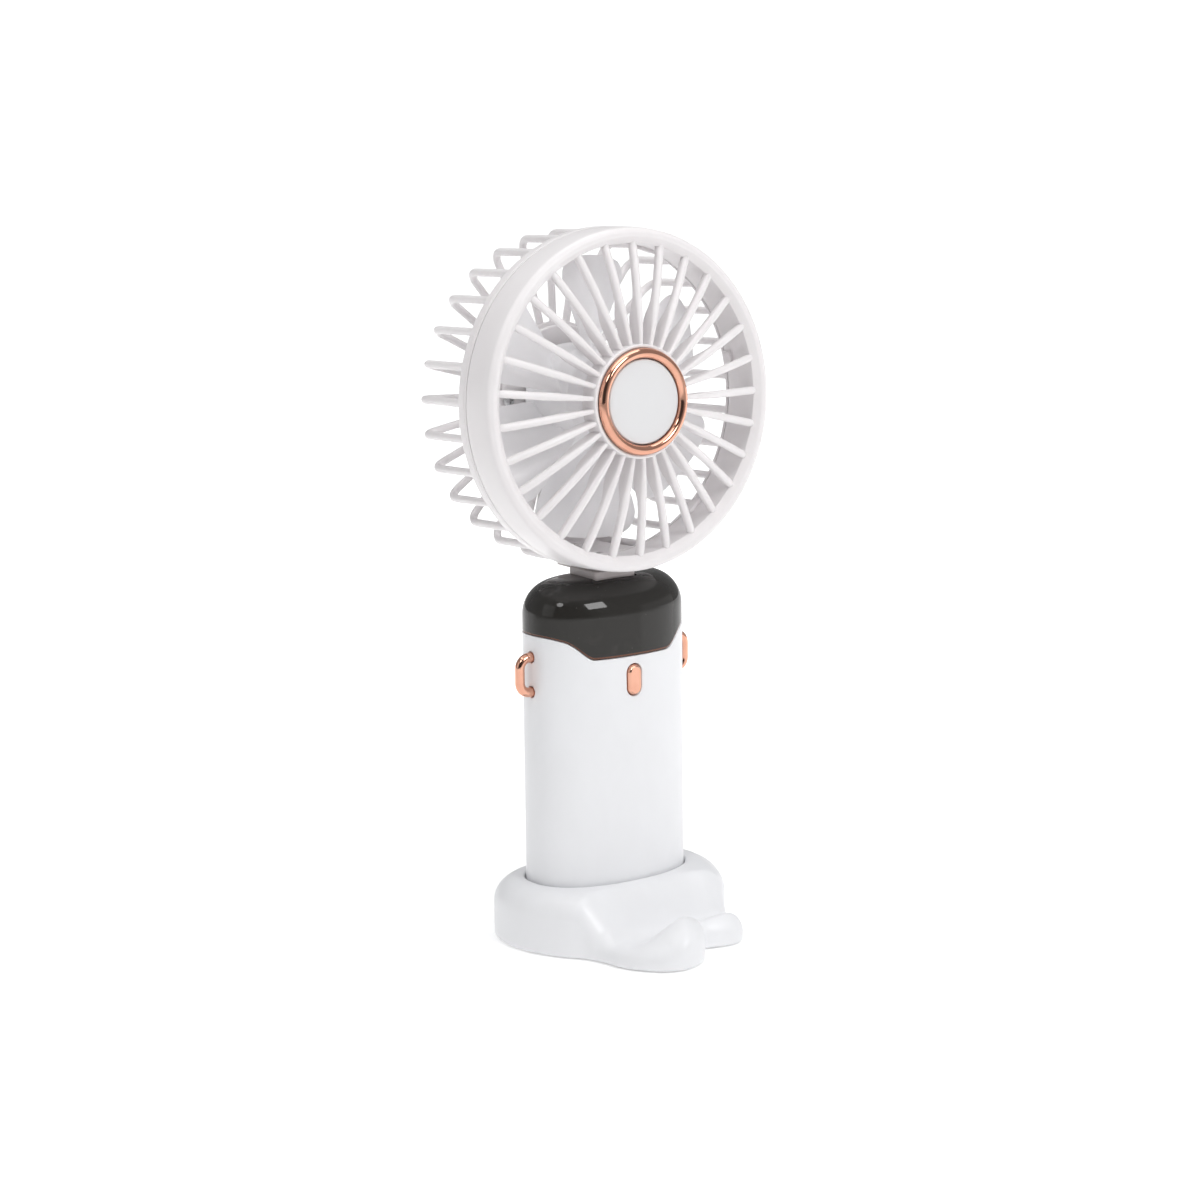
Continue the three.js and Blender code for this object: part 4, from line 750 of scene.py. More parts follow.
def stand_outline():
    """Plan of the stand: a squared-off oval at the back and two lobes of unequal reach in front."""
    back = []
    for deg in range(-12, 193, 17):
        c, s = math.cos(math.radians(deg)), math.sin(math.radians(deg))
        reach = oval_reach(c, s, STAND_HALF_W, STAND_HALF_D, STAND_POWER)
        back.append((reach * c, STAND_SHIFT + reach * s))
    shoulder_y = STAND_SHIFT - STAND_HALF_D * 0.72
    left_lobe = [
        (-STAND_HALF_W + 5.2, shoulder_y), (-WAIST_X - 2.3, WAIST_Y + 6.2), (-WAIST_X, WAIST_Y),
        (-WAIST_X + 1.1, -LEFT_REACH + 12.6), (-WAIST_X + 4.2, -LEFT_REACH + 6.6),
        (-WAIST_X + 9.6, -LEFT_REACH + 1.5), (LOBE_SPLIT_X - 11.4, -LEFT_REACH),
        (LOBE_SPLIT_X - 4.6, -LEFT_REACH + 2.4), (LOBE_SPLIT_X - 0.9, -LEFT_REACH + 6.6),
        (LOBE_SPLIT_X + 0.2, -RIGHT_REACH - 0.4),
    ]
    right_lobe = [
        (LOBE_SPLIT_X + 3.2, -RIGHT_REACH + 1.9), (LOBE_SPLIT_X + 8.5, -RIGHT_REACH + 0.7),
        (WAIST_X - 4.4, -RIGHT_REACH + 0.2), (WAIST_X - 0.5, -RIGHT_REACH + 2.4),
        (WAIST_X + 0.3, -RIGHT_REACH + 6.6), (WAIST_X + 2.3, WAIST_Y + 6.2),
        (STAND_HALF_W - 5.2, shoulder_y),
    ]
    return through(back + left_lobe + right_lobe, 360)


def stand_height(x, y):
    """Height of the stand's top over the plan, before its edge is rounded."""
    ramp_top = mix(-HANDLE_B - 1.7, -HANDLE_B - 5.7, smooth(12, 28, np.abs(x)))
    ramp = mix(STAND_H, GROOVE_H, smooth(ramp_top, WAIST_Y - 1, y))
    left = smooth(LOBE_SPLIT_X + 2.5, LOBE_SPLIT_X - 1, x)
    left_crest = mix(GROOVE_H + 0.5, LEFT_LOBE_H, smooth(-WAIST_X + 3, -2, x))
    crest = mix(RIGHT_LOBE_H, left_crest, left)
    rise = smooth(WAIST_Y + mix(2, -2.5, left), mix(-RIGHT_REACH + 3, -LEFT_REACH + 7.5, left), y)
    return ramp + (crest - GROOVE_H) * rise


def edge_distance(points, outline):
    """Distance from each point to the outline."""
    a, b = outline, np.roll(outline, -1, 0)
    d = b - a
    t = np.clip(np.einsum("pik,ik->pi", points[:, None] - a, d) / (d * d).sum(1), 0, 1)
    nearest = a + t[..., None] * d
    return np.linalg.norm(points[:, None] - nearest, axis=2).min(1)


def stand_top(points, outline):
    """Height of the finished top: the plan's height with its outer edge rounded."""
    height = stand_height(points[:, 0], points[:, 1])
    radius = np.clip(height - RIM_Z - 1.6, 1.0, STAND_EDGE)
    inside = np.clip(edge_distance(points, outline), 0, radius)
    return height - radius + np.sqrt(np.maximum(radius**2 - (radius - inside) ** 2, 0))


def build_stand():
    outline = stand_outline()
    angle = np.arctan2(outline[:, 1], outline[:, 0])
    toward = np.column_stack([np.cos(angle), np.sin(angle)])
    length = np.linalg.norm(outline, axis=1)

    def oval_ring(extra):
        reach = oval_reach(*toward.T, HANDLE_A + extra, HANDLE_B + extra, HANDLE_POWER)
        return toward * reach[:, None], reach

    mouth_edge, floor_edge, under_edge, wall = 0.7, 0.8, 0.8, 2.0
    _, mouth_reach = oval_ring(SOCKET_CLEAR + mouth_edge)
    pocket, _ = oval_ring(SOCKET_CLEAR)
    floor_ring, _ = oval_ring(SOCKET_CLEAR - floor_edge)
    cup, cup_reach = oval_ring(SOCKET_CLEAR + wall - 0.2)
    # socket, from the middle of its floor up to its rounded mouth
    rings = [level(pocket * share, SOCKET_FLOOR) for share in (0.02, 0.5, 0.9)]
    rings += [level(floor_ring, SOCKET_FLOOR), level(pocket, SOCKET_FLOOR + floor_edge)]
    rings += [level(pocket, z) for z in np.linspace(8, STAND_H - mouth_edge - 0.1, 5)]
    for turn in (0, 30, 60, 90):
        ring = pocket + toward * mouth_edge * (1 - math.cos(math.radians(turn)))
        rings.append(level(ring, STAND_H - mouth_edge * (1 - math.sin(math.radians(turn)))))
    # across the top, close steps over the rounded outer edge
    edge = STAND_EDGE * (1 - np.cos(np.linspace(0, math.pi / 2, 15)))
    for share in np.linspace(0.04, 0.96, 22):
        ring = toward * mix(mouth_reach, length - STAND_EDGE, share)[:, None]
        rings.append(level(ring, stand_top(ring, outline)))
    for back in edge[::-1]:
        ring = toward * (length - back)[:, None]
        rings.append(level(ring, stand_top(ring, outline)))
    top = rings[-1][:, 2]
    rings += [level(outline, mix(top, RIM_Z + under_edge, share)) for share in (0.33, 0.66, 1)]
    rings += rim(outline, RIM_Z, under_edge, (30, 60, 90))

    def under_top(ring):
        return level(ring, np.maximum(stand_top(ring, outline) - wall - 0.4, PLATE_TOP + 2 * GAP))

    # hollow underside, back to the middle
    inside = toward * (length - wall)[:, None]
    rings += [level(inside, RIM_Z), under_top(inside)]
    for share in (0.15, 0.35, 0.6, 0.85, 1):
        rings.append(under_top(toward * mix(length - wall, cup_reach, share)[:, None]))
    rings += [level(cup * share, PLATE_TOP + GAP) for share in (1, 0.5, 0.02)]
    shell = mesh_object("stand_body", *skin(rings, poles=(True, True)), sharp=50)
    fit(shell, "stand_shell")

    pad_top = corners_of("foot_pad")[1][2]
    pad = prism("rubber_foot", shrink(outline, 2.6), 0, pad_top, edge=0.25)
    fit(pad, "foot_pad")


# ------------------------------------------------------------------ handle
def cap_edge_height(section):
    """Height of the cap's lower edge round the section: a low bib in front, level behind."""
    x, y = np.abs(section[:, 0]), section[:, 1]
    bib = BIB_Z + BIB_RISE * smooth(BIB_FLAT, BIB_OUTER, x)
    side = mix(bib, CAP_SIDE_Z, smooth(BIB_OUTER - 2, HANDLE_A, x))
    return mix(side, CAP_SIDE_Z, smooth(-4, 0, y))


def wall_rows(section, low, high, count, edge=SEAM_EDGE, out=1):
    """Rings up a wall between two heights that may vary, with a small radius at both rims."""
    shares = np.linspace(0, 1, count)[1:-1]
    middle = [level(section, mix(low + edge, high - edge, share)) for share in shares]
    return (rim(section, low, edge, (90, 60, 30, 0), out=out) + middle
            + rim(section, high, edge, (0, 30, 60, 90), up=-1, out=out))


def pill_hole(width, height, steps, place):
    """Cutter for a pill-shaped hole; steps are (added width, depth)."""
    rings = [level(pill(width + added, height + added), z) for added, z in steps]
    return mesh_object("hole", *skin(rings, poles=(True, True)), place=place)


def loop_holes():
    """Cutters for the loops' legs, opened out a little at the face."""
    loop_z = (LOOP_LOW[2] + LOOP_HIGH[2]) / 2
    reach = (LOOP_HIGH[2] - LOOP_LOW[2]) / 2 - LOOP_D / 2
    r = LOOP_D / 2 + 0.12
    inner, outer, flare = 20, 30, 0.35
    holes = []
    for side in (-1, 1):
        for end in (-1, 1):
            profile = [(0, inner), (r, inner), (r, HANDLE_A - 0.5), (r + flare, HANDLE_A + 0.1),
                       (r + flare, outer), (0, outer)]
            profile = [(radius, side * z) for radius, z in profile]
            holes.append(turned("hole", profile, 32, place=shift(z=loop_z + end * reach) @ FACING_SIDE))
    return holes


def build_sleeve():
    """Tube of the handle, open at both ends, with holes for the button, the socket and the loops."""
    outer, inner = handle_oval(0), handle_oval(HANDLE_WALL)
    top = cap_edge_height(outer) - SEAM_GAP / 2
    rings = wall_rows(outer, LOWER_Z, top, 34)
    rings += wall_rows(inner, LOWER_Z, top, 20, edge=0.15, out=-1)[::-1]
    sleeve = mesh_object("handle_tube", *skin(rings, wrap=True))
    face = HANDLE_B
    button_steps = ((1.5, face + 1), (1.0, face + 0.02), (BUTTON_ROOM, face - 0.25), (BUTTON_ROOM, face - 4))
    button_hole = pill_hole(BUTTON_W, BUTTON_H, button_steps, shift(z=BUTTON_Z) @ FACING_FRONT)
    port_steps = ((1.6, face + 1), (1.1, face), (2 * GAP, face - 0.3), (2 * GAP, face - 4))
    port_hole = pill_hole(PORT_H, PORT_W, port_steps, shift(z=PORT_Z) @ FACING_BACK @ ON_ITS_SIDE)
    fit(cut(sleeve, button_hole, port_hole, *loop_holes()), "handle_sleeve")


def cap_rings(inset, edge_radius, top_z):
    """Rings from a wall's top up over the cap's rounded shoulder to the middle."""
    rings = []
    for turn in np.linspace(0, 90, 22):
        back = inset + edge_radius * (1 - math.cos(math.radians(turn)))
        rings.append(level(handle_oval(back), top_z - edge_radius * (1 - math.sin(math.radians(turn)))))
    flat = handle_oval(inset + edge_radius)
    rings += [level(flat * share, top_z) for share in (0.8, 0.6, 0.4, 0.2, 0.03)]
    return rings


def mark_painted_reflection_rim(cap):
    """Attribute that is 1 on the cap's outer lower edge and 0 elsewhere; there the cap's finish puts its painted
    reflection line.
    """
    places = np.array([tuple(v.co / MM) for v in cap.data.vertices])
    across, deep = np.abs(places[:, 0]) / HANDLE_A, np.abs(places[:, 1]) / HANDLE_B
    on_face = across**HANDLE_POWER + deep**HANDLE_POWER > 0.94
    on_edge = places[:, 2] < cap_edge_height(places[:, :2]) + SEAM_GAP / 2 + 0.3
    mark = cap.data.attributes.new("rim", "FLOAT", "POINT")
    mark.data.foreach_set("value", (on_face & on_edge).astype(np.float32))


def cap_shell():
    """Cap as a hollow shell: rounded outside, seam edge, lip that slides into the sleeve, room inside."""
    outer = handle_oval(0)
    low = cap_edge_height(outer) + SEAM_GAP / 2
    shares = np.linspace(0, 1, 14)[1:-1]
    outside = rim(outer, low, SEAM_EDGE, (90, 60, 30, 0))
    outside += [level(outer, mix(low + SEAM_EDGE, CAP_TOP - CAP_EDGE, share)) for share in shares]
    outside += cap_rings(0, CAP_EDGE, CAP_TOP)
    lip_low = CAP_SIDE_Z - LIP_DROP
    lip_face = handle_oval(HANDLE_WALL + GAP)
    lip_inner = handle_oval(HANDLE_WALL + GAP + 1.2)
    lip = [level(lip_inner, lip_low), level(lip_face, lip_low),
           level(lip_face, np.maximum(low - 0.4, lip_low + 0.2)), level(handle_oval(HANDLE_WALL), low)]
    room = [level(lip_inner, lip_low), level(lip_inner, CAP_SIDE_Z)]
    room += cap_rings(HANDLE_WALL, CAP_EDGE - HANDLE_WALL, CAP_TOP - HANDLE_WALL)
    shell = gather("gloss_cap", [mesh_object("gloss_cap", *skin(lip + outside, poles=(False, True))),
                                 mesh_object("gloss_room", *skin(room, poles=(False, True)))])
    tidy(shell.data)
    return shell


def slot_pocket():
    """Walls round the neck's slot, trimmed to stay under the cap's rounded face."""
    wall, inset = 1.5, 0.9
    pocket = block("pocket", -SLOT_X - wall, SLOT_X + wall, SLOT_FRONT - wall, HANDLE_B + 1,
                   SLOT_FLOOR - wall, CAP_TOP - 0.7, corner=1)
    rings = [level(handle_oval(inset), z) for z in (SLOT_FLOOR - 4, CAP_TOP - CAP_EDGE)]
    rings += cap_rings(inset, CAP_EDGE - inset, CAP_TOP - inset)
    form = mesh_object("form", *skin(rings, poles=(True, True)))
    return combine(pocket, [form], "INTERSECT")


def build_cap():
    """Glossy top cap with the slot that the neck folds in; the lip is left out behind the bib."""
    shell = fuse(cap_shell(), slot_pocket())
    lip_gap = block("lip_gap", -9.5, 9.5, -HANDLE_B + HANDLE_WALL + 0.15, -4, CAP_SIDE_Z - LIP_DROP - 1,
                    CAP_SIDE_Z + 0.5)
    cut(shell, lip_gap)
    above = CAP_TOP + 3
    low_cut = block("slot", -SLOT_X, SLOT_X, SLOT_FRONT, PIVOT_Y + KNUCKLE_R + SLOT_ROOM, SLOT_FLOOR, above,
                    corner=0.8)
    high_cut = block("slot", -SLOT_X, SLOT_X, SLOT_FRONT, HANDLE_B + 6, PIVOT_Z + 0.1, above, corner=0.8)
    cut(shell, low_cut, high_cut, sharp=32)
    # marks the lower edge that gets the painted reflection line
    mark_painted_reflection_rim(shell)
    fit(shell, "top_cap")


def build_end_cap():
    """Bottom plate with a plug rim that goes up into the sleeve and two sunk screws."""
    outer, plug = handle_oval(0), handle_oval(HANDLE_WALL + GAP)
    top, plug_top, rim_wall = LOWER_Z - GAP, LOWER_Z + 3, 1.5
    rings = [level(outer * share, HANDLE_BOTTOM) for share in (0.03, 0.4, 0.75)]
    rings += rim(outer, HANDLE_BOTTOM, 0.9, (90, 67, 45, 22, 0))
    rings += [level(outer, top - 0.1), level(shrink(outer, 0.1), top), level(plug, top),
              level(plug, plug_top - 0.2), level(shrink(plug, 0.3), plug_top)]
    rings += [level(shrink(plug, rim_wall), plug_top), level(shrink(plug, rim_wall), top)]
    rings += [level(plug * share, top) for share in (0.4, 0.03)]
    cap = mesh_object("bottom_cap", *skin(rings, poles=(True, True)))
    seat, over = HANDLE_BOTTOM + 0.8, LOWER_Z + 5
    holes = []
    for side in (-1, 1):
        place = shift(side * END_SCREW_X)
        sunk = [(0, HANDLE_BOTTOM - 1), (2.3, HANDLE_BOTTOM - 1), (2.0, HANDLE_BOTTOM + 0.15),
                (2.0, seat), (1.1, seat), (1.1, over - 1), (0, over - 1)]
        room = [(0, top - 0.01), (2.7, top - 0.01), (2.7, over), (0, over)]
        holes += [turned("hole", profile, 32, place=place) for profile in (sunk, room)]
    fit(cut(cap, *holes), "handle_end_cap")


def build_button():
    """Pill with bevelled sides, a raised flat face and a flange behind the wall."""
    face, back = -BUTTON_LOW[1], -BUTTON_HIGH[1]
    wall = HANDLE_B - HANDLE_WALL - GAP
    steps = [(-1.2, back), (-1.2, wall), (0, wall), (0, face - 0.95), (0.06, face - 0.72),
             (0.475, face - 0.12), (0.6, face), (1.1, face)]
    outline = pill(BUTTON_W, BUTTON_H, 96)
    rings = [level(shrink(outline, inset), z) for inset, z in steps]
    place = shift(z=BUTTON_Z) @ FACING_FRONT
    fit(mesh_object("button_pill", *skin(rings, poles=(True, True)), sharp=24, place=place), "power_button")


def build_loops():
    """Round bars bent into a C, both legs through the handle's wall."""
    middle = (LOOP_LOW[2] + LOOP_HIGH[2]) / 2
    out_x = LOOP_HIGH[0] - LOOP_D / 2
    high = (LOOP_HIGH[2] - LOOP_LOW[2]) / 2 - LOOP_D / 2
    in_x = LOOP_LOW[0]
    route = rounded([(in_x, high, 0), (out_x, high, LOOP_BEND), (out_x, -high, LOOP_BEND), (in_x, -high, 0)],
                    steps=16, closed=False)
    for side, node in ((-1, "lanyard_loop_left"), (1, "lanyard_loop_right")):
        turn = np.linspace(0, 2 * np.pi, 32, endpoint=False)
        rings = []
        for i, point in enumerate(route):
            along = route[min(i + 1, len(route) - 1)] - route[max(i - 1, 0)]
            along /= np.linalg.norm(along)
            across = np.array([-along[1], along[0]])
            r = LOOP_D / 2
            rings.append(np.column_stack([
                side * (point[0] + r * np.sin(turn) * across[0]), r * np.cos(turn),
                middle + point[1] + r * np.sin(turn) * across[1]]))
        bar = mesh_object(node.replace("lanyard_loop", "carry_loop"), *skin(rings, poles=(True, True)))
        fit(bar, node)


def build_port():
    """Charging socket: a drawn steel shell with a tongue."""
    depth = PORT_HIGH[1] - PORT_LOW[1]
    floor = depth - 0.7
    outline = pill(PORT_H, PORT_W, 96)
    steps = [(0, 0.2), (0.15, 0.05), (0.4, 0), (0.55, 0.1), (0.6, 0.3), (0.6, floor)]
    rings = [level(outline * 0.02, depth), level(shrink(outline, 0.2), depth), level(outline, depth - 0.2)]
    rings += [level(shrink(outline, inset), down) for inset, down in steps]
    rings += [level(outline * 0.02, floor)]
    mouth = shift(0, PORT_HIGH[1], PORT_Z) @ FACING_FRONT
    shell = mesh_object("port_shell", *skin(rings, poles=(True, True)), place=mouth @ ON_ITS_SIDE)
    tongue = block("port_tongue", -3.3, 3.3, -0.35, 0.35, 0.8, floor + 0.1, corner=0.15, edge=0.12,
                   place=mouth)
    fit(gather("charge_inlet", [shell, tongue]), "charging_socket")


# ------------------------------------------------------------------ screws
def screw_object(head_r, head_t, shank_r, length):
    """Pan head with a cross recess, head up at height 0, shank downwards."""
    end = -head_t - length
    profile = rounded([
        (0, 0, 0), (head_r * 0.8, 0, 0.3), (head_r, -head_t * 0.45, 0.25), (head_r, -head_t, 0.05),
        (shank_r, -head_t, 0.1), (shank_r, end + 0.4, 0.1), (0, end, 0)], closed=False)
    body = turned("screw", profile, 32, place=Matrix.Identity(4), sharp=50)
    arm, half, depth = head_r * 0.62, head_r * 0.17, head_t * 0.75
    bars = [block("recess", *spans, -depth, 1, corner=0.05, edge=0.02)
            for spans in ((-arm, arm, -half, half), (-half, half, -arm, arm))]
    return cut(body, *bars, sharp=50)


def screws_on(name, points, screw, turn, nodes):
    """One piece of all the screws of a kind, placed on points by a node tree."""
    mesh = bpy.data.meshes.new(name)
    mesh.from_pydata([tuple(p) for p in points], [], [])
    piece = new_object(name, mesh)
    slot = SLOT_OF[nodes[0]]
    grow(piece, COPIES_ON_POINTS, sharp=50, Placed=screw, Turn=turn, Material=FINISHES[slot])
    bpy.data.objects.remove(screw)
    fit(piece, *nodes)


def head_points(nodes, end):
    """Middles of upright screws' heads in metres; the heads are at the boxes' end 1, the top, or 0."""
    return [np.array([*middle_of(node)[:2], corners_of(node)[end][2]]) * MM for node in nodes]


def build_screws():
    motor_screws = [f"motor_screw_{i}" for i in (1, 2, 3)]
    _, low, high = turned_size(motor_screws[0])
    head_t = 1.1
    points = [HEAD @ (Vector(polar(MOUNT_SCREW_R, deg) + (0, 0, high)) * MM) for deg in EAR_DEG]
    screws_on("motor_screws", points, screw_object(1.7, head_t, 0.8, high - low - head_t),
              tuple(HEAD.to_euler()), motor_screws)
    low, high = corners_of(NECK_SCREWS[0])
    head_t = 0.7
    screws_on("neck_screws", head_points(NECK_SCREWS, 1),
              screw_object(1.2, head_t, 0.7, high[2] - low[2] - head_t), (0.0, 0.0, 0.3), NECK_SCREWS)
    end_screws = ["end_cap_screw_1", "end_cap_screw_2"]
    screws_on("bottom_screws", head_points(end_screws, 0), screw_object(1.7, 0.5, 0.8, 8),
              (math.pi, 0.0, 0.5), end_screws)


# ------------------------------------------------------------------ neck
def build_neck():
    """Post on a round knuckle, bored for the hinge pin, with a plate that the head sits on."""
    half_w, half_d = NECK_W / 2, NECK_D / 2
    post = block("folding_neck", -half_w, half_w, -half_d, half_d, NECK_FOOT, NECK_TOP, corner=1.1, edge=0.35,
                 steps=6)
    profile = rounded([(0, -half_w, 0), (KNUCKLE_R, -half_w, 0.4), (KNUCKLE_R, half_w, 0.4), (0, half_w, 0)],
                      closed=False)
    knuckle = turned("knuckle", profile, 64, place=HINGE @ FACING_SIDE)
    plate = block("plate", NECK_LOW[0] + 1.5, NECK_HIGH[0] - 1.5, -2.6, NECK_HIGH[1], NECK_TOP - 1,
                  NECK_HIGH[2], corner=0.8, edge=0.2)
    holes = [turned("bore", [(0, -20), (HINGE_BORE_R, -20), (HINGE_BORE_R, 20), (0, 20)], 32,
                    place=HINGE @ FACING_SIDE)]
    thread_low, thread_high = NECK_TOP + 0.6, NECK_TOP + 6
    for node in NECK_SCREWS:
        profile = [(0, thread_low), (1, thread_low), (1, thread_high), (0, thread_high)]
        holes.append(turned("thread", profile, 24, place=shift(*middle_of(node)[:2])))
    fuse(post, knuckle, plate)
    fit(cut(post, *holes, sharp=35), "neck_block")


# ------------------------------------------------------------------ head: front grille
def spoke_front(r):
    """Height of a spoke's front edge: it slopes back from the hub to the ring."""
    share = np.clip((r - HUB_R) / (SPOKE_TIP_R - HUB_R), 0, 1)
    return mix(SPOKE_HUB_W, SPOKE_TIP_W, share**1.6)


def spoke_shape():
    """One spoke along X: a rounded front edge on a deep web that thins out past the middle."""
    rings = []
    inside_hub = HUB_R - 1.2
    for r in [inside_hub, 16.5, 18, 20, 21.5, 23, 24.5, 26, 28, 31, 34.5, 38, 41, 42.6, 43.6, 44.3, 44.75]:
        to_tip = smooth(SPOKE_TIP_R - 2.1, SPOKE_TIP_R + 0.4, r)
        half = SPOKE_T * mix(0.6, 1, smooth(HUB_R, 0.6 * RING_R, r)) / 2 * mix(1, 0.35, to_tip**2)
        front = spoke_front(r) - 0.5 * to_tip**2
        depth = mix(5, 2.4, smooth(0.46 * RING_R, 0.62 * RING_R, r))
        section = [(-half * 0.72, front - depth), (half * 0.72, front - depth)]
        for turn in np.linspace(0, 180, 11):
            t = math.radians(turn)
            section.append((half * math.cos(t), front - 0.9 * half + 0.9 * half * math.sin(t)))
        rings.append([(r, side, w) for side, w in section])
    return mesh_object("spokes", *skin(rings, poles=(True, True)), sharp=50)


def front_ring():
    """Wide outer ring with a rounded front edge and a groove behind for the rear cage."""
    outer, inner = RING_R, RING_INNER_R
    socket, step = inner + 0.5, inner + 1.8
    rear, seam = SEAM - 2.8, SEAM + GAP / 2
    profile = rounded([
        (outer, seam, 0.25), (outer, SEAM + 3.2, 0), (outer - 0.05, RING_FRONT - 3.2, 0),
        (outer - 0.25, RING_FRONT - 0.9, 1.6), (outer - 1.7, RING_FRONT, 1.0),
        (outer - 2.8, RING_FRONT - 0.25, 0.4), (inner, RING_FRONT - 1.9, 0.35), (inner, SEAM + 2.2, 0.2),
        (socket, SEAM + 1.9, 0.15), (socket, rear, 0.2), (step, rear, 0.2), (step, seam, 0.1)], steps=6)
    return turned("ring", profile, 256)


def front_hub():
    """Centre of the grille: a skirt behind and a shallow seat for the trim ring and the disc."""
    skirt, seat = HUB_R - 2, TRIM_OUTER_R + 0.08
    profile = rounded([
        (0, HUB_FRONT - 3, 0), (skirt, HUB_FRONT - 3, 0.3), (skirt, HUB_FRONT - HUB_SKIRT, 0.3),
        (HUB_R, HUB_FRONT - HUB_SKIRT, 0.4), (HUB_R, HUB_FRONT, 0.75), (seat, HUB_FRONT, 0.15),
        (seat, HUB_FRONT - 1, 0.1), (0, HUB_FRONT - 1, 0)], steps=6, closed=False)
    return turned("hub", profile, 192)


def build_front_grille():
    ring, hub = front_ring(), front_hub()
    spokes = repeated(spoke_shape(), SPOKES, FIRST_SPOKE, 360 / SPOKES, "grille_white", HEAD)
    hook = block("hooks", RING_INNER_R - 0.55, RING_INNER_R + 0.8, -2.6, 2.6, SEAM - 2.4, SEAM + 0.6,
                 corner=0.4, edge=0.3)
    hooks = repeated(hook, HOOKS, 10, 360 / HOOKS, "grille_white", HEAD)
    fit(gather("front_guard", [ring, hub, spokes, hooks]), "front_grille")


def build_hub():
    """Round trim ring and the disc inside it, a little crowned."""
    middle = TRIM_FRONT - TRIM_TUBE
    tube = [(TRIM_R + TRIM_TUBE * math.cos(t), max(middle + TRIM_TUBE * math.sin(t), DISC_REAR))
            for t in np.linspace(0, 2 * np.pi, 48, endpoint=False)]
    fit(turned("trim_ring", tube, 256), "hub_trim_ring")
    crown = [(DISC_R * share, DISC_FRONT - 0.25 * share**2) for share in (0, 0.3, 0.6, 0.85)]
    side = DISC_R - 0.02
    edge = rounded([(DISC_R * 0.85, DISC_FRONT - 0.18, 0), (side, DISC_FRONT - 0.26, 0.45),
                    (side, DISC_REAR, 0.2), (0, DISC_REAR, 0)], closed=False)
    fit(turned("centre_disc", crown + list(edge), 192), "hub_disc")


# ------------------------------------------------------------------ head: rear cage
def ear_place(deg):
    """Place of a motor screw on the head."""
    return HEAD @ Matrix.Translation(Vector(polar(MOUNT_SCREW_R, deg)) * MM)


def cage_strip():
    """Band of the rear cage behind the ring, with a fine groove round it."""
    groove = RING_R - 0.12
    ledge, inner = RING_INNER_R + 2.1, RING_INNER_R + 0.4
    seam = SEAM - GAP / 2
    profile = rounded([
        (RING_R, STRIP_REAR, 0.7), (RING_R, SEAM - 1.15, 0), (groove, SEAM - 1.05, 0),
        (groove, SEAM - 0.95, 0), (RING_R, SEAM - 0.85, 0), (RING_R, seam, 0.15), (ledge, seam, 0.1),
        (ledge, STRIP_REAR + 1.1, 0.1), (inner, STRIP_REAR + 1.1, 0.2), (inner, STRIP_REAR, 0.3)])
    return turned("strip", profile, 256, sharp=25)


def cage_ribs():
    """Round ribs, bent at the rear corner, all round but for the solid chin at the bottom."""
    pitch = 360 / RIBS
    skipped = int(2 * CHIN_HALF_DEG / pitch)
    first = 270 + (skipped + 1) / 2 * pitch
    side, rear = CAGE_R - RIB_T / 2, RIB_T / 2 - CAGE_REAR
    line = [(side, 0, STRIP_REAR + 1.0), (side, 0, rear), (REAR_HUB_R - 1.5, 0, rear)]
    mesh = bpy.data.meshes.new("ribs")
    mesh.from_pydata([tuple(c * MM for c in p) for p in line], [(0, 1), (1, 2)], [])
    radii = {"Bar Radius": RIB_T / 2 * MM, "Corner Radius": CAGE_CORNER * MM}
    return grow(new_object("ribs", mesh), RING_OF_BARS, HEAD, Count=RIBS - skipped, First=math.radians(first),
                Step=math.radians(pitch), Material=FINISHES["grille_white"], **radii)


def rear_hub():
    """Closed centre of the cage with a raised round plate, and a lug for each motor screw."""
    back, front = CAGE_BACK, CAGE_BACK + RIB_T + 0.5
    profile = rounded([
        (0, back + 0.5, 0), (8, back + 0.5, 0.3), (8.6, back, 0.3), (REAR_HUB_R - 1.6, back, 0.5),
        (REAR_HUB_R, back + 1, 0.8), (REAR_HUB_R, front, 0.3), (0, front, 0)], closed=False)
    hub = turned("rear_hub", profile, 128)
    lug_back = back + 0.3
    lug = rounded([(0, lug_back, 0), (3.4, lug_back, 0.4), (3.4, front, 0.3), (0, front, 0)], closed=False)
    return [hub] + [turned("lug", lug, 32, place=ear_place(deg)) for deg in EAR_DEG]


def cage_chin():
    """Solid band of the cage over the neck, with rounded sides."""
    wall, rear = 2.0, -CAGE_REAR
    inner = CAGE_R - wall - 0.2
    outline = rounded([
        (CAGE_R, STRIP_REAR + 0.6, 0), (CAGE_R, rear, CAGE_CORNER), (REAR_HUB_R - 1, rear, 0),
        (REAR_HUB_R - 1, rear + wall, 0), (inner, rear + wall, CAGE_CORNER - 1.5),
        (inner, STRIP_REAR + 0.6, 0)], steps=8)
    edge = 0.9
    rings = []
    for deg in np.linspace(-CHIN_HALF_DEG, CHIN_HALF_DEG, 33):
        from_side = (CHIN_HALF_DEG - abs(deg)) / CHIN_HALF_DEG * CAGE_R * math.radians(CHIN_HALF_DEG)
        pinch = edge * (1 - math.sqrt(max(1 - (1 - min(from_side / edge, 1)) ** 2, 0)))
        shape = shrink(outline[::-1], pinch * 0.9)[::-1]
        t = math.radians(270 + deg)
        rings.append(np.column_stack([shape[:, 0] * math.cos(t), shape[:, 0] * math.sin(t), shape[:, 1]]))
    return mesh_object("chin", *skin(rings, poles=(True, True)), sharp=35, place=HEAD)


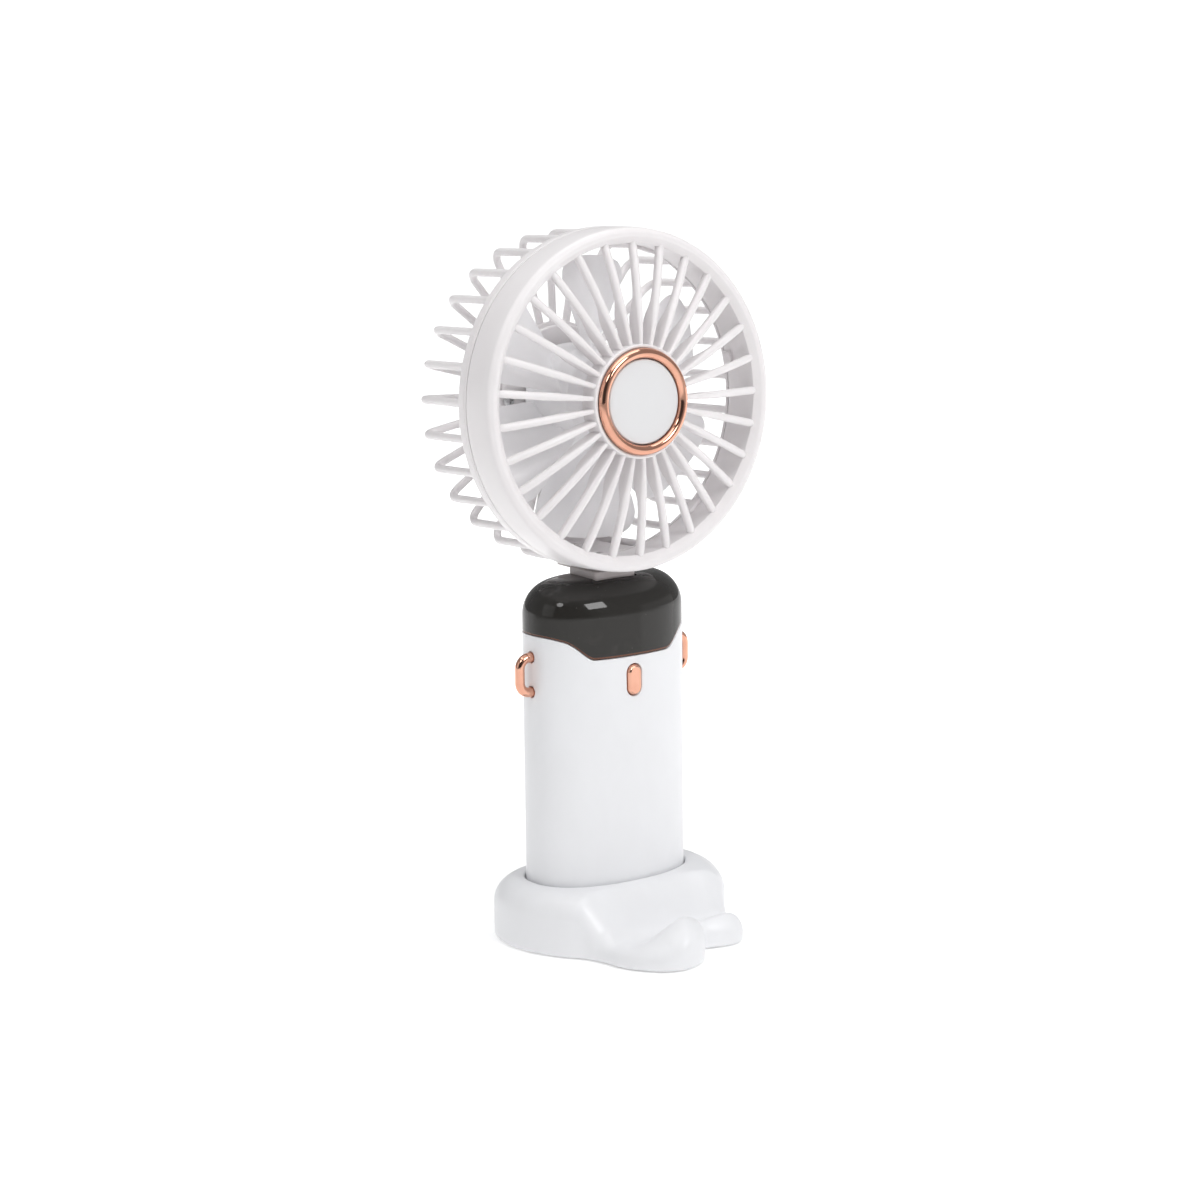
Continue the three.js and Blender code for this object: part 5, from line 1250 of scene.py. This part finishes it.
def neck_saddle():
    """Block inside the cage that takes the neck's screws."""
    top = corners_of(NECK_SCREWS[0])[1][2] + 0.3
    saddle = block("saddle", -7.5, 7.5, -3.0, NECK_HIGH[1] + 1.8, NECK_HIGH[2] + GAP, top, corner=1.6,
                   edge=0.5)
    profile = [(0, top - 1.0), (1.45, top - 1.0), (1.45, top - 0.2), (1.75, top + 0.1), (1.75, top + 3),
               (0, top + 3)]
    holes = [turned("hole", profile, 32, place=shift(*middle_of(node)[:2])) for node in NECK_SCREWS]
    return cut(saddle, *holes)


def build_rear_cage():
    parts = [cage_strip(), cage_ribs(), *rear_hub(), cage_chin(), neck_saddle()]
    fit(gather("rear_cage", parts), "rear_grille")


# ------------------------------------------------------------------ motor
def motor_plate():
    """Round plate with a grooved collar and an ear for each screw."""
    _, low, high = turned_size("motor_mount")
    bore, edge, groove = 3.4, 20, high - 0.35
    profile = rounded([
        (bore, low, 0.2), (edge, low, 0.3), (edge, high, 0.5), (13.4, high, 0.1), (13.0, groove, 0.1),
        (12.4, groove, 0.1), (12.0, high, 0.1), (bore, high, 0.2)])
    plate = turned("mount", profile, 128)
    ear = rounded([(1.1, low, 0.1), (3.0, low, 0.3), (3.0, high, 0.4), (1.1, high, 0.1)])
    return gather("motor_plate", [plate] + [turned("ear", ear, 40, place=ear_place(deg)) for deg in EAR_DEG])


def motor_shell():
    """Drawn steel can with a crimp round it and a bearing boss in both ends."""
    r, low, high = turned_size("motor_can")
    boss, bore, crimp = 3.3, 1.5, r - 0.15
    profile = rounded([
        (bore, low + 2, 0), (boss, low + 2, 0), (boss, low, 0.2), (r, low, 1.1), (r, low + 3, 0),
        (crimp, low + 3.1, 0), (crimp, low + 3.5, 0), (r, low + 3.6, 0), (r, high, 1.1), (boss, high, 0.2),
        (boss, high - 2, 0), (bore, high - 2, 0)])
    return turned("motor_shell", profile, 96, sharp=30)


def build_motor():
    fit(motor_plate(), "motor_mount")
    fit(motor_shell(), "motor_can")


# ------------------------------------------------------------------ impeller
def blade_shape():
    """One broad pitched blade along X with rounded outer corners."""
    half_deg, rise, middle = (24, 23), (6, 5), -5.5
    bend = BLADE_R - BLADE_BEND_R
    turns = np.linspace(0.12, np.pi / 2, 12)
    rings = []
    for r in np.r_[np.linspace(DRUM_R - 0.8, BLADE_BEND_R, 10), BLADE_BEND_R + bend * np.sin(turns)]:
        out = (r - DRUM_R) / (BLADE_R - DRUM_R)
        corner = math.sqrt(max(1 - (max(r - BLADE_BEND_R, 0) / (bend + 0.02)) ** 2, 0))
        share = mix(0.62, 1, corner) if r < BLADE_R - 0.02 else 0.6
        across = np.linspace(-1, 1, 15)
        turn = np.radians(mix(*half_deg, out) * share * across)
        lift = middle + mix(*rise, out) * share * (across + 0.12 * np.sin(np.pi * across))
        thick = BLADE_T / 2 * np.sqrt(np.clip(1 - np.abs(across) ** 8, 0.02, 1))
        upper = np.column_stack([r * np.cos(turn), r * np.sin(turn), lift + thick])
        lower = np.column_stack([r * np.cos(turn), r * np.sin(turn), lift - thick])[::-1]
        rings.append(np.vstack([upper, lower]))
    return mesh_object("blades", *skin(rings, poles=(True, True)), sharp=55)


def build_impeller():
    """Drum with a hub inside it for the shaft, and the blades."""
    front = turned_size("motor_shaft")[2] + 1.5
    back = turned_size("motor_can")[1] + 2.6
    wall, hub, bore = DRUM_R - 1.8, 3, 1.3
    profile = rounded([
        (0, front, 0), (DRUM_R - 3.6, front, 1.5), (DRUM_R, front - 3.4, 2.2), (DRUM_R, back, 0.4),
        (wall, back, 0.3), (wall, front - 4, 0.8), (DRUM_R - 4, front - 2, 0.5), (hub, front - 2, 0.5),
        (hub, front - 6, 0.2), (bore, front - 6, 0.1), (bore, front - 1.2, 0), (0, front - 1.2, 0)],
        steps=6, closed=False)
    drum = turned("drum", profile, 128)
    blades = repeated(blade_shape(), BLADES, FIRST_BLADE, 360 / BLADES, "impeller_white", HEAD)
    fit(gather("fan_wheel", [drum, blades]), "impeller")


# ------------------------------------------------------------------ studio
def direction(yaw_deg, pitch_deg):
    """Unit vector; yaw turns from the back towards +X, pitch is upwards."""
    yaw, pitch = math.radians(yaw_deg), math.radians(pitch_deg)
    return Vector((math.sin(yaw) * math.cos(pitch), math.cos(yaw) * math.cos(pitch), math.sin(pitch)))


def build_camera():
    forward = direction(CAMERA_YAW, CAMERA_PITCH)
    right = forward.cross(Vector((0, 0, 1))).normalized()
    up = right.cross(forward)
    roll = math.radians(CAMERA_ROLL)
    right, up = right * math.cos(roll) + up * math.sin(roll), up * math.cos(roll) - right * math.sin(roll)
    data = bpy.data.cameras.new("camera")
    data.lens = LENS_MM
    data.sensor_width = 36
    data.clip_start = 0.01
    camera = new_object("camera", data)
    turn = Matrix((right, up, -forward)).transposed().to_4x4()
    camera.matrix_world = Matrix.Translation(CAMERA_PLACE) @ turn
    bpy.context.scene.camera = camera


def softbox(name, yaw_deg, pitch_deg, distance, width, height, watts, shape="RECTANGLE"):
    """Area light that faces the middle of the fan from a direction."""
    target = Vector((0, 0, 0.1))
    data = bpy.data.lights.new(name, "AREA")
    data.shape = shape
    data.size, data.size_y = width, height
    data.energy = watts
    light = new_object(name, data)
    place = target - direction(yaw_deg, pitch_deg) * distance
    turn = (target - place).to_track_quat("-Z", "Y").to_matrix().to_4x4()
    light.matrix_world = Matrix.Translation(place) @ turn


def build_floor():
    """Pale sweep that gives off more light behind the fan, so it stays white to the horizon."""
    floor = Finish("pale_floor")
    away = tuple(direction(CAMERA_YAW, 0))
    behind = floor.node("ShaderNodeVectorMath", {"operation": "DOT_PRODUCT"}, {0: floor.place, 1: away},
                        out="Value")
    glow = floor.band(behind, -0.2, 0.5, FLOOR_GLOW_NEAR, FLOOR_GLOW_FAR)
    cloud = floor.band(floor.noise(0.4, detail=3), 0.3, 0.7)
    floor.set(Base_Color=floor.blend(cloud, (0.90, 0.90, 0.90), (0.88, 0.88, 0.88)),
              Emission_Color=floor.blend(glow, (0, 0, 0), (1, 1, 1)),
              Emission_Strength=1.0, Roughness=0.9, Specular_IOR_Level=0.0)
    mesh = bpy.data.meshes.new("floor")
    corners = [(x * FLOOR_HALF, y * FLOOR_HALF, 0) for x, y in ((-1, -1), (1, -1), (1, 1), (-1, 1))]
    mesh.from_pydata(corners, [], [(0, 1, 2, 3)])
    plane = new_object("floor", mesh)
    mesh.materials.append(floor.material)


def build_sky():
    """Even white room, darker on the side the camera stands."""
    world = bpy.data.worlds.new("studio")
    bpy.context.scene.world = world
    world.use_nodes = True
    sky = Graph(world.node_tree)
    background = world.node_tree.nodes["Background"]
    view = sky.node("ShaderNodeTexCoord", out="Generated")
    aim = sky.node("ShaderNodeVectorMath", {"operation": "NORMALIZE"}, {0: view})
    dark_side = tuple(-direction(CAMERA_YAW + 8, -4))
    toward = sky.node("ShaderNodeVectorMath", {"operation": "DOT_PRODUCT"}, {0: aim, 1: dark_side},
                      out="Value")
    strength = sky.node("ShaderNodeMapRange", {"interpolation_type": "SMOOTHSTEP"},
                        {0: toward, 1: 0.5, 2: 0.9, 3: ROOM_LIGHT, 4: ROOM_LIGHT * ROOM_DARK_SHARE})
    sky.tree.links.new(strength.socket, background.inputs["Strength"])
    background.inputs["Color"].default_value = (0.99, 0.993, 1.0, 1)


def build_studio():
    """Floor, room and lamps; a lamp's yaw and pitch are those of its light, sizes in metres."""
    build_floor()
    build_sky()
    softbox("overhead", 0, -88, 1.3, 1.4, 1.4, 11.1)
    softbox("key_window", -8, -34, 1.25, 0.44, 0.4, 4.9)
    softbox("round_lamp", 58, -44, 1.3, 0.3, 0.3, 1.5, "DISK")
    softbox("left_wall", 88, -20, 1.6, 1.0, 1.0, 1.7)
    softbox("right_card", -60, 2, 0.38, 0.3, 0.22, 0.06)
    bpy.context.scene.view_settings.view_transform = "Standard"


# ------------------------------------------------------------------ everything
build_camera()
build_stand()
build_sleeve()
build_cap()
build_end_cap()
build_button()
build_loops()
build_port()
build_screws()
build_neck()
build_front_grille()
build_hub()
build_rear_cage()
build_motor()
build_impeller()
# the CAD's own meshes show for the nodes that no piece above replaces
for node, obj in frame["nodes"].items():
    if not obj.hide_render:
        obj.data.materials.clear()
        obj.data.materials.append(FINISHES[SLOT_OF[node]])
build_studio()
